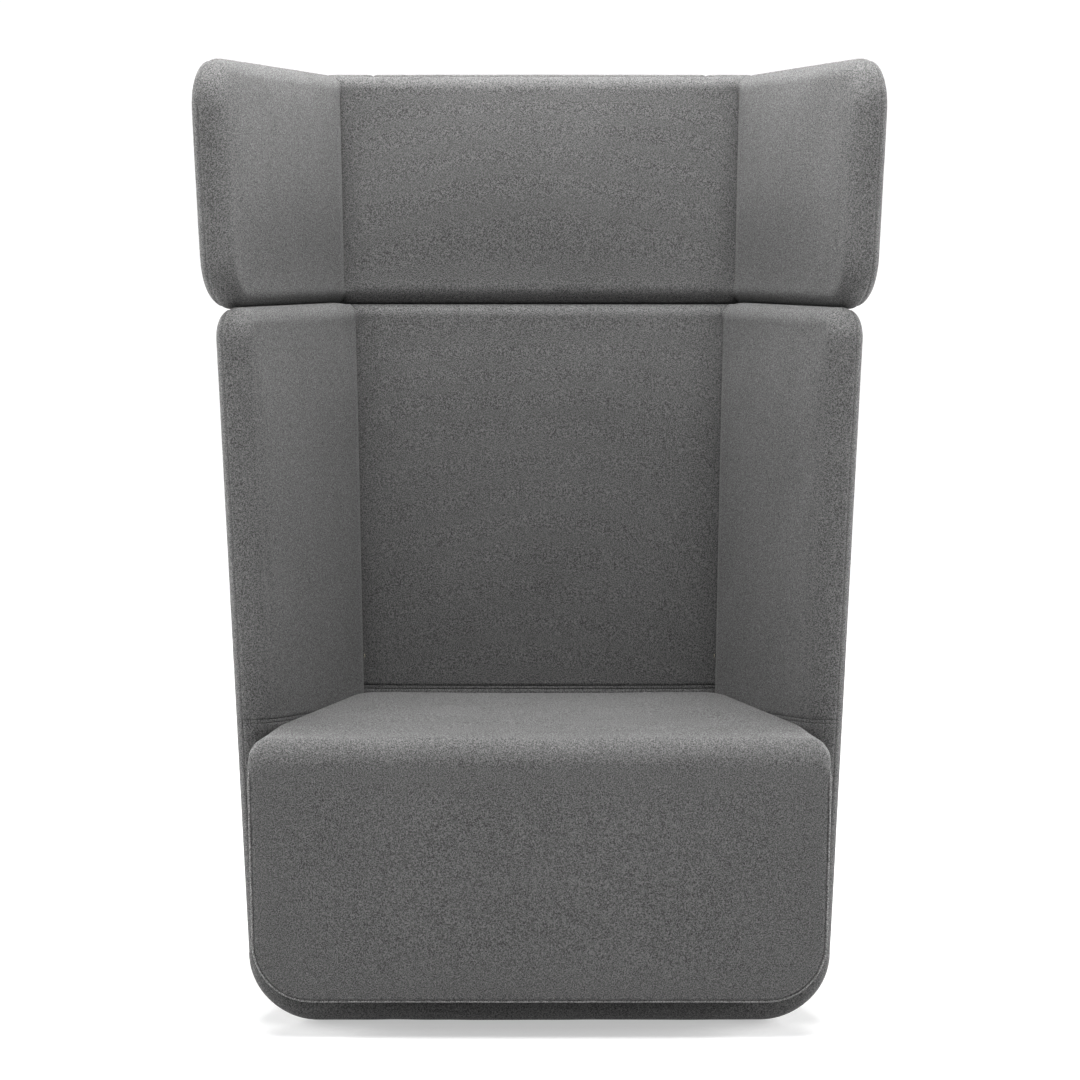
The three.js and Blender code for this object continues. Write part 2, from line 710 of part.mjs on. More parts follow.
function buildBody() {
  const shell = bodySkin.subtract(bodyCore).subtract(bracketRoom);
  addCovers(body, "", shell, curlHeight + gap);
  const sideBoard = wingBoard(body, bodyOffsets, boardFront, wingBoardEnd, bodyBoardHeights);
  addPair("side_board", "plywood", sideBoard.subtract(bracketRoom));
  addPair("corner_bend", "plywood", cornerBend());
  addPair("rear_post", "beech", cornerPost(body, bodyOffsets, bodyBoardHeights));
  add("back_board", "plywood", backBoard(body, bodyBackHeights).subtract(bracketRoom));
  const wood = wingBoard(body, bodyOffsets, boardFront, wingBoardEnd, bodyBoardHeights, gap)
    .add(cornerBend(gap))
    .add(cornerPost(body, bodyOffsets, bodyBoardHeights, gap));
  const foam = bodyFilling.subtract(bracketRoom).subtract(baseBoardSpace(gap));
  const wing = foam.subtract(backWedge(body, gap)).intersect(side(1));
  addPair("wing_foam", "foam", wing.subtract(wood));
  const backWood = backBoard(body, bodyBackHeights, gap).add(wood).add(mirror(wood));
  add("back_foam", "foam", foam.intersect(backWedge(body, 0)).subtract(backWood));
}

// The base board between the bent corners, its packers, foam, cover and the cloth under it
const baseDepths = [boardEdgeFoam, wingBoardEnd(0)];
const baseBoardSpace = (grow) => {
  const depths = [baseDepths[0] - grow, baseDepths[1] + grow];
  return basePlate(depths, [baseBoardLow - grow, baseBoardHigh + grow], -bendMiddle - gap + grow);
};

// The packers on the base board, straight under the seat's side rails
const packerDepths = [coverReturn + gap, backInnerAtFloor - packerBack];
const frameHalf = (y) => wingPoint(body, -wallHalf, y, curlHeight)[0] - frameInset;
const frameInset = seatBottomCornerRadius + 2 * coverThickness;
const packerTop = seatBottom - gap;
function packer(grow = 0) {
  const [near, away] = [packerDepths[0] - grow, packerDepths[1] + grow];
  const low = baseBoardHigh + gap - grow;
  const wide = railThickness / 2 + packerMargin + grow;
  const ring = (z) => [[near, -wide], [near, wide], [away, wide], [away, -wide]].map(([y, across]) => {
    return [frameHalf(y) - railThickness / 2 + across, y, z];
  });
  return between(ring(low), ring(packerTop + grow));
}

// Glides: a disc on the floor with a stem up into the base board
function glide([x, y], grow = 0) {
  const disc = bar([x, y, -grow], [0, 0, 1], glideHeight - gap + 2 * grow, glideRadius + grow, 24);
  return disc.add(bar([x, y, 0], [0, 0, 1], glideStemLength + grow, glideStemRadius + grow, 12));
}

// Seat bolts: a head under the base board and a shank up through the packer into the side rail
function seatBolt(y, grow = 0) {
  const x = frameHalf(y) - railThickness / 2;
  const low = baseBoardLow - gap - boltHeadHeight;
  const head = bar([x, y, low - grow], [0, 0, 1], boltHeadHeight + 2 * grow, boltHeadRadius + grow, 12);
  const length = baseBoardHigh - baseBoardLow + packerTop - baseBoardHigh + boltGrip;
  return head.add(bar([x, y, low], [0, 0, 1], boltHeadHeight + gap + length + grow, boltRadius + grow, 12));
}
const bothSides = (made) => made.add(mirror(made));
const joinAll = (list) => list.reduce((all, one) => all.add(one));
const boltRoom = bothSides(joinAll(boltDepths.map((y) => seatBolt(y, gap))));
const glideRoom = bothSides(joinAll(glidePlaces.map((place) => glide(place, gap))));
const fixingRoom = boltRoom.add(glideRoom);

function buildBase() {
  const lowest = below(curlHeight);
  const skin = bodySkin.intersect(lowest).add(baseSolid(0, overcut));
  const core = bodyCore.intersect(below(curlHeight + overcut)).add(baseSolid(coverThickness, overcut));
  const openEdge = -bendMiddle - baseOverlap;
  const openHeights = [baseTop - coverThickness - overcut, baseTop + overcut];
  const openTop = basePlate([coverReturn, backInnerAtFloor - overcut], openHeights, openEdge);
  const clothDepths = [coverReturn, backInnerAtFloor - clothMargin];
  const openBottom = basePlate(clothDepths, [-overcut, bodyBottom + foamInset], openEdge);
  const cover = skin.subtract(core).subtract(openTop).subtract(openBottom).subtract(baseBoardSpace(gap));
  add("base_cover", "fabric", cover);
  const clothHeights = [bodyBottom + coverThickness - clothThickness, bodyBottom + coverThickness];
  const clothEdges = [clothDepths[0] + gap, clothDepths[1] - gap];
  add("base_cloth", "cloth", basePlate(clothEdges, clothHeights, openEdge - gap).subtract(glideRoom));
  const board = basePlate(baseDepths, [baseBoardLow, baseBoardHigh], -bendMiddle - gap);
  add("base_board", "plywood", board.subtract(fixingRoom));
  const packers = bothSides(packer(gap));
  const foam = baseSolid(foamInset, -gap).subtract(baseBoardSpace(gap)).subtract(packers);
  add("base_foam", "foam", foam.subtract(fixingRoom));
  addPair("base_packer", "beech", packer().subtract(boltRoom));
  glidePlaces.forEach((place, i) => addPair(i ? "back_glide" : "front_glide", "plastic", glide(place)));
}

// The hood: three boards, their foam and covers
function buildHood() {
  const shell = wallSolid(hood, 0).subtract(wallSolid(hood, coverThickness)).subtract(bracketRoom);
  addCovers(hood, "hood_", shell, 0);
  const sideBoard = wingBoard(hood, hoodOffsets, boardFront, wingBoardEnd, hoodBoardHeights);
  addPair("hood_side_board", "plywood", sideBoard.subtract(bracketRoom));
  addPair("hood_post", "beech", cornerPost(hood, hoodOffsets, hoodBoardHeights));
  add("hood_back_board", "plywood", backBoard(hood, hoodBoardHeights).subtract(bracketRoom));
  const wood = wingBoard(hood, hoodOffsets, boardFront, wingBoardEnd, hoodBoardHeights, gap)
    .add(cornerPost(hood, hoodOffsets, hoodBoardHeights, gap));
  const foam = wallSolid(hood, foamInset).subtract(bracketRoom);
  addPair("hood_side_foam", "foam", foam.subtract(backWedge(hood, gap)).intersect(side(1)).subtract(wood));
  const backWood = backBoard(hood, hoodBoardHeights, gap).add(wood).add(mirror(wood));
  add("hood_back_foam", "foam", foam.intersect(backWedge(hood, 0)).subtract(backWood));
  addPair("wing_bracket", "steel", wingBracket());
  addPair("back_bracket", "steel", backBracket());
}

// The seat's frame: four rails on edge, as wide as the packers under them
const railLow = seatBottom + foamInset;
const railTop = railLow + railHeight;
const frameFront = seatFace + seatFrontFoam;
const frameBack = packerDepths[1] - railThickness;
function framePlate(depths, heights, margins) {
  const ring = (z) => {
    const corner = (sign, y) => [sign * (frameHalf(y) + margins), y, z];
    return [corner(-1, depths[0]), corner(1, depths[0]), corner(1, depths[1]), corner(-1, depths[1])];
  };
  return between(ring(heights[0]), ring(heights[1]));
}

function buildSeatFrame() {
  const heights = [railLow, railTop];
  const front = [frameFront, frameFront + railThickness];
  const back = [frameBack, frameBack + railThickness];
  const middle = [front[1] + gap, back[0] - gap];
  add("seat_front_rail", "beech", framePlate(front, heights, 0));
  add("seat_back_rail", "beech", framePlate(back, heights, 0));
  const wellDepths = [middle[0] - overcut, middle[1] + overcut];
  const well = framePlate(wellDepths, [railLow - overcut, railTop + overcut], -railThickness);
  const sides = framePlate(middle, heights, 0).subtract(well);
  addPair("seat_side_rail", "beech", sides.intersect(side(1)).subtract(boltRoom));
  boltDepths.forEach((y, i) => addPair(i ? "back_bolt" : "front_bolt", "steel", seatBolt(y)));
}

// A flat zigzag spring from the front rail to the back rail
const springHeight = railTop + gap + springWireRadius;
function zigzag(x) {
  const start = frameFront + railThickness / 2;
  const end = frameBack + railThickness / 2;
  const points = [new THREE.Vector3(x, start, springHeight)];
  for (let i = 0; i < springWaves; i++) {
    const y = start + ((end - start) * (i + 0.5)) / springWaves;
    points.push(new THREE.Vector3(x + (i % 2 ? -1 : 1) * (springWidth / 2), y, springHeight));
  }
  points.push(new THREE.Vector3(x, end, springHeight));
  const path = new THREE.CatmullRomCurve3(points, false, "centripetal");
  const sides = [0, 1, 2, 3, 4].map((i) => new THREE.Vector2(springWireRadius, 0)
    .rotateAround(new THREE.Vector2(), (2 * Math.PI * i) / 5));
  const options = { extrudePath: path, steps: springWaves * 3, bevelEnabled: false };
  return solidOf(new THREE.ExtrudeGeometry(new THREE.Shape(sides), options));
}

// The seams of the seat run this share of the way round its edges
const seamShare = 0.6;
function buildSeat() {
  buildSeatFrame();
  const spacing = (2 * frameHalf(frameBack)) / (springCount + 1);
  for (let i = 0; i < springCount; i++) {
    add("seat_spring_" + (i + 1), "steel", zigzag(spacing * (i - (springCount - 1) / 2)));
  }
  const hollow = [seatBottom - overcut, springHeight + springWireRadius + gap];
  const frameRoom = framePlate([frameFront - gap, frameBack + railThickness + gap], hollow, gap);
  add("seat_foam", "foam", seatSolid(foamInset).subtract(frameRoom));
  const shell = seatSolid(0).subtract(seatSolid(coverThickness)).subtract(boltRoom);
  const topSpace = (margin) => {
    const front = block([-far, -far, -far], [far, seatFace + seatFrontRimRadius * seamShare + margin, far]);
    const roundLow = seatTop - seatTopFrontRadius - margin;
    const round = block([-far, -far, roundLow], [far, seatFace + seatTopFrontRadius + margin, far]);
    return above(seatTop - seatTopCornerRadius * seamShare - margin).add(front).add(round);
  };
  add("seat_top_cover", "fabric", shell.intersect(topSpace(0)));
  const rest = shell.subtract(topSpace(gap));
  const under = framePlate([-2 * seatProjection, far / 2], [-far, far], 0);
  const underWide = framePlate([-2 * seatProjection, far / 2], [-far, far], gap);
  add("seat_under_cover", "fabric", rest.intersect(under));
  addPair("seat_side_cover", "fabric", rest.subtract(underWide).intersect(side(1)));
}

buildBody();
buildBase();
buildHood();
buildSeat();

// The origin is on the floor under the middle of the chair
const chair = new THREE.Group();
for (const mesh of nodes) chair.add(mesh);
const middle = new THREE.Box3().setFromObject(chair).getCenter(new THREE.Vector3());
for (const mesh of nodes) mesh.geometry.translate(-middle.x, -middle.y, 0);
export default chair;
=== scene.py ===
"""The acoustic high back lounge chair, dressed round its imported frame.

Shapes are worked out in millimetres on grids: x runs to the sitter's left, y runs back from the plane
of the wings' front edges and z runs up from the floor. A mesh goes into the frame in metres.
"""
import json
import math
from functools import partial

import bpy
import numpy as np
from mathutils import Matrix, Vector


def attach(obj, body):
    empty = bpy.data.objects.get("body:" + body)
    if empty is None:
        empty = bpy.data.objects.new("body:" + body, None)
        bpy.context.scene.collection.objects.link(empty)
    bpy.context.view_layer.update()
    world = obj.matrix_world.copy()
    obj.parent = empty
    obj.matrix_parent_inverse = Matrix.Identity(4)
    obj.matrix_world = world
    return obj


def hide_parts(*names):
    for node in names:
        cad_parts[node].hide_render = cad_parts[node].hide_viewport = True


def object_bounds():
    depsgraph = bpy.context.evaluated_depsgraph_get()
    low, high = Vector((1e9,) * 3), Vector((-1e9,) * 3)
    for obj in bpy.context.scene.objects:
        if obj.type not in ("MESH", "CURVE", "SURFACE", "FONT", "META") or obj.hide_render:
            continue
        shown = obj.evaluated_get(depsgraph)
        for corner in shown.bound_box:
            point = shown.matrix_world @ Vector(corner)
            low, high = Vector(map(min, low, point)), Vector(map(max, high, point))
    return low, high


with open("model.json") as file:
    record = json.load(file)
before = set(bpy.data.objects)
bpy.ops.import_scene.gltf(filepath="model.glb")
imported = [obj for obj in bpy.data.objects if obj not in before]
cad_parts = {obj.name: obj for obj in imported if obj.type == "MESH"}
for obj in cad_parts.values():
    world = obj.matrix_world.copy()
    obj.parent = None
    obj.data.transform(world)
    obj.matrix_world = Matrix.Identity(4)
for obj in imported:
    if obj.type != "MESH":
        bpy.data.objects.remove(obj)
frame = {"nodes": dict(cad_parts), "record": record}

cad_low, cad_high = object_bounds()

MM = 0.001

# Sizes of the whole chair, in millimetres, with its angles and slopes
CHAIR_HEIGHT = 1300
WALL = 46
HALF = WALL / 2
BACK_THICKNESS = 85
BACK_CORNER = 70
BACK_AT_FLOOR = 421
SPLAY = math.radians(13.4)
RECLINE = math.tan(math.radians(5.8))
FLARE = math.tan(math.radians(2.7))
GLIDE_HEIGHT = 3
TOUCH_GAP = 0.3

# Sizes of the body and the hood
BODY_TOP = 967
BODY_HALF_WIDTH = 387
BODY_CORNER = 45
HOOD_CORNER = 70
HOOD_STEP = 16
BOTTOM_CORNER = 93
BACK_BOTTOM_CORNER = 60
PANEL_INSET = 2.5
PRESSED_REACH = 40

# Sizes of the seat block; the runs are the lengths of half a section's bottom, low corner, side, top
# corner and top, which share out the grid's columns
SEAT_TOP = 396
SEAT_CROWN = 4
SEAT_REACH = 100
SEAT_FACE_CROWN = 3
SEAT_TOP_FRONT = 34
SEAT_RIM = 14
SEAT_TOP_CORNER = 18
SEAT_BOTTOM_CORNER = 80
SEAT_CLEARANCE = 1
SEAT_LEAN_FROM = 300
SEAT_RUNS = (260, 125, 220, 28, 290)

# Between the wings the seat's top corner is pinched to a smaller radius and its sides are lifted, over a
# run from one depth on; the lift eases off at the back
SEAT_TOP_PINCH = 8
SEAT_SIDE_LIFT = 6.5
SQUEEZE_FROM = -95
SQUEEZE_RUN = 140
EASE_FROM = 370
EASE_RUN = 100

# Fabric: its thickness, how full a flat wall cover is, how deep each kind of seam is rolled in and how
# far beside it, and where the hood's top seam crosses from the front's line to the rear's
CLOTH = 1.6
WALL_CROWN = 2.5
SEAM_ROLL = 0.9
CORNER_ROLL = 0.5
SEAT_ROLL = 0.8
DIP_REACH = 3.6
SEAM_CROSSING = 90
SEAM_CROSSING_RUN = 110

# The covers' tuck in the inner corners, and the lifted ridge beside the seam on top of the hood
CORNER_DEPTH = 4.0
CORNER_REACH = 40.0
CORNER_WAY = (0.62, 0.78)
CORNER_SEAM_REACH = 6
OUTER_LIFT = 2.0
RIDGE_PLACE = 8
RIDGE_WIDTH = 6

# The covers' unevenness: (length, height) of the waves and of the puckers beside a seam
LONG_WAVE = (170, 0.55)
SHORT_WAVE = (60, 0.18)
PUCKER = (16, 0.16)
PUCKER_REACH = 14
JOINT_SWELL = 0.35

# How far from the joint between body and hood the filling and the waves start, and over how much
FILL_EASE = (10, 150)
WAVE_EASE = (8, 50)

# The raised seam on the seat's face: how far behind the face it lies, its radius and how far it stands out
WELT_DEPTH = 4.1
WELT_RADIUS = 1.7
WELT_LIFT = 0.7

# The heights of the tuck seams on the back and, at the wings' front, on the wings, where it falls to the
# back by a slope and pulls less
TUCK_SEAM = 405.5
WING_SEAM = 412.5
WING_SEAM_SLOPE = 0.07
WING_SEAM_PULL = 0.55

# The tuck seam's rows of stitches and its groove, in metres
STITCH_PLACE = 0.0024
STITCH_WIDTH = 0.0013
GROOVE_WIDTH = 0.007

# Cells of the fine grids and of the cloth simulation, the furthest that a cover's and the seat block's
# points move in it, the cloth, and how many times the movement is evened out
STEP = 7
SIM_STEP = 15
SIM_FRAMES = 20
SIM_CAP = 4.5
BLOCK_CAP = 2.5
SIM_STIFFNESS = 30
SIM_BENDING = 8
COVER_ROUNDS = 12
BLOCK_ROUNDS = 40
FINE_ROUNDS = 6

# How full the paddings are: the foam's share of a cover's room
SEAT_FILL = 0.8
SEAT_TOP_FILL = 0.85

# Foam paddings, in metres
FOAM_CELL = 0.007
FOAM_INSET = 0.005

# Colours of the fabric, the lighter fibre colour that paints a highlight on the seat's raised seam, and its
# clumps and fibres to a metre
FABRIC_DARK = 0.055
FABRIC_LIGHT = 0.25
SEAM_PAINTED_HIGHLIGHT = 0.42
FABRIC_CLUMPS = 680.0
FABRIC_FIBRES = 1300

# The studio, in metres and watts
STUDIO_RADIUS = 14
STUDIO_HEIGHT = 12
STUDIO_SIDES = 96
NEAR_RADIUS = 1.0
FAR_RADIUS = 5.0
FLOOR_LEVEL = 0.5
FLOOR_GLOW = 0.52
WALL_GLOW = 1.05
SKY_LIGHT = 0.1
TOP_POWER = 142
CREST_POWER = 29
FRONT_POWER = 26
BACK_POWER = 100
SIDE_POWER = 7
CONTRAST = 1.4

# The camera: its lens and sensor in millimetres, its place in metres and the photo's width in pixels
LENS = 125
SENSOR = 36
CAMERA_DISTANCE = 5
CAMERA_HEIGHT = 1.0438
CAMERA_PITCH = math.radians(4.422)
PHOTO_WIDTH = 1080

CURL = GLIDE_HEIGHT + BOTTOM_CORNER
BASE_TOP = GLIDE_HEIGHT + WALL
SEAT_BOTTOM = BASE_TOP + TOUCH_GAP
SEAT_FACE = SEAT_FACE_CROWN - SEAT_REACH
HOOD_OFFSET = HOOD_STEP * math.cos(SPLAY)
HOOD_BOTTOM = BODY_TOP - WALL + math.sqrt(WALL ** 2 - HOOD_OFFSET ** 2) + TOUCH_GAP
JOINT_LEVEL = (BODY_TOP + HOOD_BOTTOM) / 2
DEPTH_SHIFT = cad_low.y / MM + SEAT_REACH


def back_inner(z):
    """The back's inner face leans back from its place at the floor by the recline's slope."""
    return BACK_AT_FLOOR + RECLINE * z


def back_outer(z):
    """The outer face lies one back's thickness behind the inner one."""
    return back_inner(z) + BACK_THICKNESS


class Wall:
    """Two splayed wings with a back between them; line(z) is half the width at the wings' middle."""

    def __init__(self, top, bottom, top_corner, bottom_corner, half_width, flare_from, top_seam, low_seam):
        self.top = top
        self.bottom = bottom
        self.top_corner = top_corner
        self.bottom_corner = bottom_corner
        self.half_width = half_width
        self.flare_from = flare_from
        self.top_seam = top_seam
        self.low_seam = low_seam

    def line(self, z):
        """Half the width grows with height by the flare's slope, above the height it starts from."""
        return self.half_width + FLARE * (np.maximum(z, self.flare_from) - self.flare_from)

    def ends(self):
        """The round edges with a seam, as (height of the flat face's end, seam, 1 upwards or -1)."""
        found = [(self.top - HALF, self.top_seam, 1)]
        if self.low_seam:
            found.append((self.bottom + HALF, self.low_seam, -1))
        return found


# A wall's seam is (how far outboard of the wing's middle it runs in front, the same at the rear end, how
# far behind the back's inner face it runs)
body_line = BODY_HALF_WIDTH - HALF + FLARE * CURL
body = Wall(BODY_TOP, CURL, BODY_CORNER, 0, body_line, CURL, (10, 10, 33), None)
hood_line = body_line + FLARE * (BODY_TOP - CURL) + HOOD_STEP - FLARE * (BODY_TOP - HOOD_BOTTOM)
hood = Wall(CHAIR_HEIGHT, HOOD_BOTTOM, HOOD_CORNER, HOOD_CORNER, hood_line, HOOD_BOTTOM,
            (10, -1.5, 19), (10, 10, 33))


def grid(x, y, z):
    """Points from their coordinates, whose shapes are brought together."""
    return np.stack(np.broadcast_arrays(x, y, z), -1).astype(float)


def wing_point(wall, out, y, z):
    """x is the wall's line at z, plus out over cos(splay), less (y - half the wall) times tan(splay)."""
    x = wall.line(z) + out / math.cos(SPLAY) - (y - HALF) * math.tan(SPLAY)
    return grid(x, y, z)


def smooth(t):
    """Smoothstep: 3 t squared less 2 t cubed, between 0 and 1."""
    t = np.clip(t, 0, 1)
    return t * t * (3 - 2 * t)


def off_joint(points, still, ease):
    """0 where the height is within still of the joint between body and hood, easing to 1 over ease."""
    return smooth((np.abs(points[:, 2] - JOINT_LEVEL) - still) / ease)


def bow(t):
    """A crown across a panel: (4 t (1 - t)) to the power 1.5, level at both edges."""
    return (4 * np.clip(t, 0, 1) * np.clip(1 - t, 0, 1)) ** 1.5


def waves(points, length, seed):
    """Soft irregular waves: a quarter of the sum of eight plane sine waves, of about a length, in drawn
    directions."""
    draw = np.random.default_rng(seed)
    total = np.zeros(points.shape[:-1])
    for _ in range(8):
        way = draw.normal(size=3)
        way *= 2 * np.pi / (length * draw.uniform(0.7, 1.5)) / np.linalg.norm(way)
        total += np.sin(points @ way + draw.uniform(0, 2 * np.pi))
    return total / 4


# Grids and edges

FINE = np.array([0.6, 1.3, 2.2, 3.4, 5.0])


def spaced(length, step, start=False, end=False):
    """Shares from 0 to 1 along a length, one step apart, with close rows near the ends that ask for
    them on the fine grid."""
    marks = np.linspace(0, length, max(int(math.ceil(length / step)), 2) + 1)
    if step <= STEP:
        if start:
            marks = np.concatenate([[0], FINE, marks[marks > FINE[-1] + step / 3]])
        if end:
            inner = marks[marks < length - FINE[-1] - step / 3]
            marks = np.concatenate([inner, length - FINE[::-1], [length]])
    return marks / length


def arc_edge(centre, radius, start, end, step):
    """Points round an arc in the wing's plane, each with its direction from the centre."""
    share = spaced(abs(math.radians(end - start)) * (radius + HALF), step)
    angle = np.radians(start + (end - start) * share)
    way = np.stack([np.cos(angle), np.sin(angle)], -1)
    return np.array(centre) + radius * way, way


def straight_edge(start, end, way, step, fine_end=False):
    """Points along a straight edge, each with the edge's outward direction."""
    share = spaced(math.dist(start, end), step, end=fine_end)[:, None]
    points = np.array(start) + (np.array(end) - np.array(start)) * share
    return points, np.broadcast_to(np.array(way, float), points.shape)


def join_edges(*parts):
    """Edges one after the other; each starts where the last one ends."""
    points = np.concatenate([parts[0][0]] + [p[0][1:] for p in parts[1:]])
    ways = np.concatenate([parts[0][1]] + [p[1][1:] for p in parts[1:]])
    return points, ways


def shares_of(edge):
    """Each point's share of the edge's length."""
    run = np.concatenate([[0], np.cumsum(np.linalg.norm(np.diff(edge[0], axis=0), axis=1))])
    return run / run[-1]


def edge_at(edge, shares):
    """The edge's points and outward directions at shares of its length."""
    own = shares_of(edge)
    points = np.stack([np.interp(shares, own, edge[0][:, k]) for k in range(2)], -1)
    ways = np.stack([np.interp(shares, own, edge[1][:, k]) for k in range(2)], -1)
    return points, ways / np.linalg.norm(ways, axis=1)[:, None]


def fill_edges(low, high, front, back, p, q):
    """A Coons patch: both pairs of edges blended straight across, less the blend of the four corners."""
    p = p[:, None, None]
    q = q[None, :, None]
    across = (1 - q) * low[:, None] + q * high[:, None]
    along = (1 - p) * front[None] + p * back[None]
    near = (1 - q) * low[0] + q * high[0]
    away = (1 - q) * low[-1] + q * high[-1]
    return across + along - (1 - p) * near - p * away


class Patch:
    """A grid of points, the middle of the padding behind each, and its rows' and columns' shares."""

    def __init__(self, points, core, rows, columns):
        self.points = points
        self.core = np.broadcast_to(core, points.shape)
        self.rows = rows
        self.columns = columns


def wing_edges(wall, rear, step, fine_rear):
    """The edges of a wing's flat face in its plane, as (front, high, low), where the round edge starts.

    rear(z) is where the face ends at the back. The front corners are arcs of the corner's radius less
    half the wall, split half way round between the front edge and the top or bottom one.
    """
    top_at = wall.top - wall.top_corner
    radius = wall.top_corner - HALF
    centre = (wall.top_corner, top_at)
    high_z = wall.top - HALF
    high = join_edges(
        arc_edge(centre, radius, 135, 90, step),
        straight_edge((wall.top_corner, high_z), (rear(high_z), high_z), (0, 1), step, fine_rear))
    turn = arc_edge(centre, radius, 180, 135, step)
    if wall.bottom_corner == 0:
        front = join_edges(straight_edge((HALF, wall.bottom), (HALF, top_at), (-1, 0), step), turn)
        low = straight_edge((HALF, wall.bottom), (rear(wall.bottom), wall.bottom), (0, -1), step)
        return front, high, low
    low_at = wall.bottom + wall.bottom_corner
    low_radius = wall.bottom_corner - HALF
    low_centre = (wall.bottom_corner, low_at)
    low_z = wall.bottom + HALF
    front = join_edges(
        arc_edge(low_centre, low_radius, 225, 180, step),
        straight_edge((HALF, low_at), (HALF, top_at), (-1, 0), step),
        turn)
    low = join_edges(
        arc_edge(low_centre, low_radius, 225, 270, step),
        straight_edge((wall.bottom_corner, low_z), (rear(low_z), low_z), (0, -1), step, fine_rear))
    return front, high, low


def rise(offset):
    """How far a round edge stands out at a distance from its middle: a half circle of half the wall."""
    return np.sqrt(np.maximum(HALF ** 2 - np.clip(offset, 0, HALF) ** 2, 0))


def round_edge(wall, edge, seam, corner, step, sign):
    """The round edge of a wing, from its inner (sign -1) or outer (sign 1) flat face to the seam.

    Angle a runs from 0 at the flat face to the seam's place: a point lies half a wall times cos a
    across the wall and half a wall times sin a out from the flat face's edge. seam is None along the
    front. Behind the corner the rows are drawn to the seam's end, behind the back's inner face. The seam
    crosses from its front place to its rear one over a run that starts behind the round corner.
    """
    points, ways = edge
    front, rear = (wall.top_seam[0], wall.top_seam[0]) if seam is None else seam[:2]
    target = front + (rear - front) * smooth((points[:, 0] - SEAM_CROSSING) / SEAM_CROSSING_RUN)
    angle = np.arccos(sign * target / HALF)[:, None] * spaced(HALF * 1.6, step / 2, end=True)[None]
    out = sign * HALF * np.cos(angle)
    y = points[:, None, 0] + ways[:, None, 0] * HALF * np.sin(angle)
    z = points[:, None, 1] + ways[:, None, 1] * HALF * np.sin(angle)
    if seam is not None:
        behind = np.clip((points[:, 0] - corner) / (points[-1, 0] - corner), 0, 1)[:, None]
        over = (HALF - sign * out) / (HALF - sign * target[:, None])
        y = y + behind * over * (back_inner(z) + seam[2] - points[-1, 0])
    core = wing_point(wall, 0, points[:, None, 0] + 0 * y, points[:, None, 1] + 0 * z)
    if seam is not None:
        core = wing_point(wall, 0, np.maximum(y, points[:, None, 0]), points[:, None, 1] + 0 * z)
    return Patch(wing_point(wall, out, y, z), core, shares_of(edge), angle[0] / angle[0, -1])


def wing_patches(wall, step, sign, rear, rear_seam):
    """A wing's flat face, bowed by the crown, with its round edges; the patches share their borders."""
    front, high, low = wing_edges(wall, rear, step, rear_seam)
    p = shares_of(high)
    q = shares_of(front)
    low = edge_at(low, p)
    rear_z = low[0][-1, 1] + (high[0][-1, 1] - low[0][-1, 1]) * q
    back = np.stack([rear(rear_z), rear_z], -1)
    flat = fill_edges(low[0], high[0], front[0], back, p, q)
    crown = WALL_CROWN * bow(p)[:, None] * bow(q)[None]
    y, z = flat[..., 0], flat[..., 1]
    patches = [Patch(wing_point(wall, sign * (HALF + crown), y, z), wing_point(wall, 0, y, z), p, q)]
    patches.append(round_edge(wall, front, None, 0, step, sign))
    runs = [(high, wall.top_seam, wall.top_corner)]
    if wall.low_seam:
        runs.append((low, wall.low_seam, wall.bottom_corner))
    for edge, seam, corner in runs:
        patches.append(round_edge(wall, edge, seam, corner, step, sign))
        patches[-1].rows = p
    return patches, rear_z, q


def inner_wing(wall, step):
    """The inner cover of the left wing, over the round edges to the seams and back to the mitre."""
    return wing_patches(wall, step, -1, back_inner, True)[0]


def arc_reach():
    """How far from the sharp outer back corner its round starts."""
    return BACK_CORNER / math.tan((math.pi / 2 + SPLAY) / 2)


def corner_start(z):
    """The depth at which the outer back corner's round starts."""
    return back_outer(z) - arc_reach() * math.cos(SPLAY)


